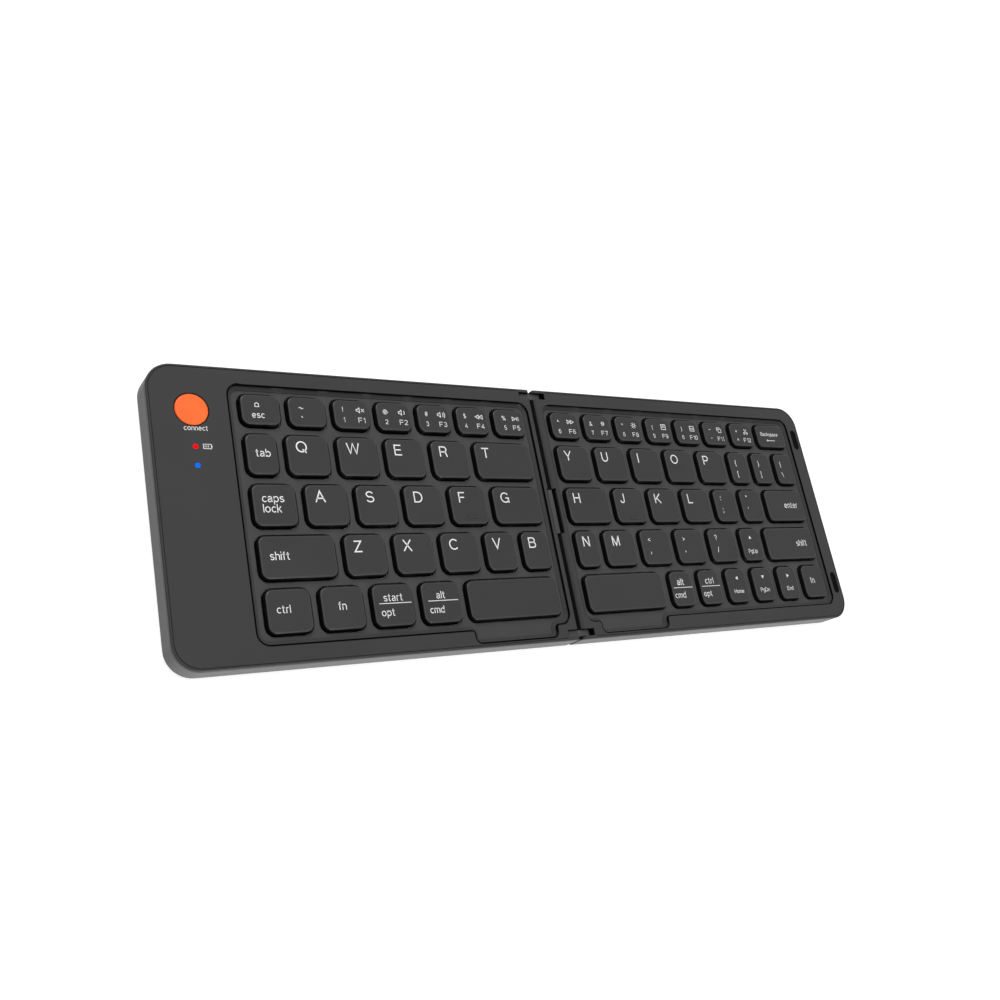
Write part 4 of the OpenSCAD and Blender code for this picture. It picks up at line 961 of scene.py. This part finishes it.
def wellOutline(end, notch, out):
    # Round the well of a right half, from its outer front corner over the rear to the notch, whose ends turn in
    # an S: quarter circles whose radius grows with the distance outwards, and shrinks where the wall turns back
    r, turn, tight = well["radius"], well["notchTurn"], well["notchRadius"]
    start, front, rear, notchStart = well["start"], well["front"], well["rear"], well["notchStart"]
    notchEnd = notchStart + notch
    low = well["notchRim"] - well["edge"] + tight
    corners = (  # middle, radius, first angle, and which way it turns
        (end - r, front + r, r + out, -90, 1), (end - r, rear - r, r + out, 0, 1),
        (start + r, rear - r, r + out, 90, 1), (start + r, front + r, r + out, 180, 1),
        (notchStart - turn, front - turn, turn - out, 90, -1), (notchStart + tight, low, tight + out, 180, 1),
        (notchEnd - tight, low, tight + out, -90, 1), (notchEnd + turn, front - turn, turn - out, 180, -1))
    line = []
    for x, y, radius, angle, way in corners:
        line += bow(x, y, radius, radius, angle, angle + way * 90)
    return np.array(line + line[:1])


for side, way in (("left", -1), ("right", 1)):
    end, notch, wide = (well[side][part] for part in ("end", "notch", "wide"))
    # Painted shade: a black sheet over the upright wall under the rim, all round
    rings = []
    for out, z in well[side]["wallShade"]:
        rings.append(raised(wellOutline(end, notch, out)[:-1] * (way, 1), z)[::way])
    wallShade = hoop(rings)
    # Painted shade: a dark strip on the deck along the outer side and the front
    line = np.roll(wellOutline(end, notch, well["off"] + wide / 2)[:-1] * (way, 1), well["turns"], axis=0)
    line = line[well[side]["from"]:well[side]["to"]]
    strip = printed([ribbon(line, wide)], well["level"])
    points, faces, _ = joined([wallShade, strip])
    newPiece("shade_strip_" + side, points, faces, side + "_half", ["shadeSheetBlack"], smooth=False)
print("joint strips")


# Studio: a pale world, three lamps and a white table
studio = {
    "world": "#ffffff", "worldLevel": 0.3,
    "lamps": {  # place, aim and size in millimetres, strength in watts
        "rearBox": ((-330, 760, 660), (0, 0, 0), 420, 6.0),
        "topBox": ((60, 60, 1100), (0, 0, 0), 1400, 5.6),
        "frontBox": ((60, -900, 130), (0, 0, 0), 240, 5.6),
    },
    "table": {  # half its length, fields along it, level, colour, and its own light near and far, with both places
        "reach": 9000, "fields": 12, "level": -0.05, "colour": "#b4b4b4", "near": (500, 0.78), "far": (1600, 1.0),
    },
}


def shownRays(tree):
    # 1 for rays that the camera, a gloss or a clear body sends, 0 for those that light the object
    path = addNode(tree, "LightPath")
    shown = path, "Is Camera Ray"
    for kind in ("Is Glossy Ray", "Is Transmission Ray"):
        shown = addNode(tree, "Math", {"operation": "MAXIMUM"}, links={0: shown, 1: (path, kind)}), "Value"
    return shown


def addStudio(values):
    # A world that looks white but lights weakly, and square lamps, each turned from its place to its aim
    scene.world = bpy.data.worlds.new("studio")
    tree = emptyTree(scene.world)
    level = addNode(tree, "MapRange", None, {"To Min": values["worldLevel"], "To Max": 1.0},
                    {"Value": shownRays(tree)})
    sky = addNode(tree, "Background", None, {"Color": toLinear(values["world"])},
                  {"Strength": (level, "Result")})
    addNode(tree, "OutputWorld", links={"Surface": (sky, "Background")})
    for name, (place, aim, size, watts) in values["lamps"].items():
        data = bpy.data.lights.new(name, "AREA")
        data.shape = "SQUARE"
        data.size = size * mm
        data.energy = watts
        lamp = newObject(name, data)
        spot = Vector(place) * mm
        way = Vector(aim) * mm - spot
        lamp.matrix_world = Matrix.Translation(spot) @ way.to_track_quat("-Z", "Y").to_matrix().to_4x4()


def addFloor(values):
    # A wide level plate of square fields, a little under the feet so that they never share a face with it
    count = values["fields"]
    across = np.linspace(-values["reach"], values["reach"], count + 1)
    x, y = np.meshgrid(across, across)
    points = np.column_stack([x.ravel(), y.ravel(), np.full(x.size, values["level"])])
    corner = (np.arange(count)[:, None] * (count + 1) + np.arange(count)).ravel()
    faces = np.stack([corner, corner + 1, corner + count + 2, corner + count + 1], 1).tolist()
    material = bpy.data.materials.new("whiteTable")  # white laminate table: even and matt
    tree = emptyTree(material)
    place = addNode(tree, "TexCoord")
    away = addNode(tree, "VectorMath", {"operation": "LENGTH"}, links={0: (place, "Object")})
    # As white at the horizon, where the lamps don't reach, as it is round the keyboard
    (near, nearGlow), (far, farGlow) = values["near"], values["far"]
    white = addNode(tree, "MapRange", None,
                    {"From Min": near * mm, "From Max": far * mm, "To Min": nearGlow, "To Max": farGlow},
                    {"Value": (away, "Value")})
    level = addNode(tree, "Math", {"operation": "MULTIPLY"},
                    links={0: shownRays(tree), 1: (white, "Result")})
    glow = addNode(tree, "Emission", links={"Strength": (level, "Value")})
    matt = addNode(tree, "BsdfDiffuse", None, {"Color": toLinear(values["colour"])})
    total = addNode(tree, "AddShader", links={0: (matt, "BSDF"), 1: (glow, "Emission")})
    addNode(tree, "OutputMaterial", links={"Surface": (total, "Shader")})
    plate = newObject("floor", newMesh("floor", points, faces, [material]))


addStudio(studio)
addFloor(studio["table"])
print("studio set")
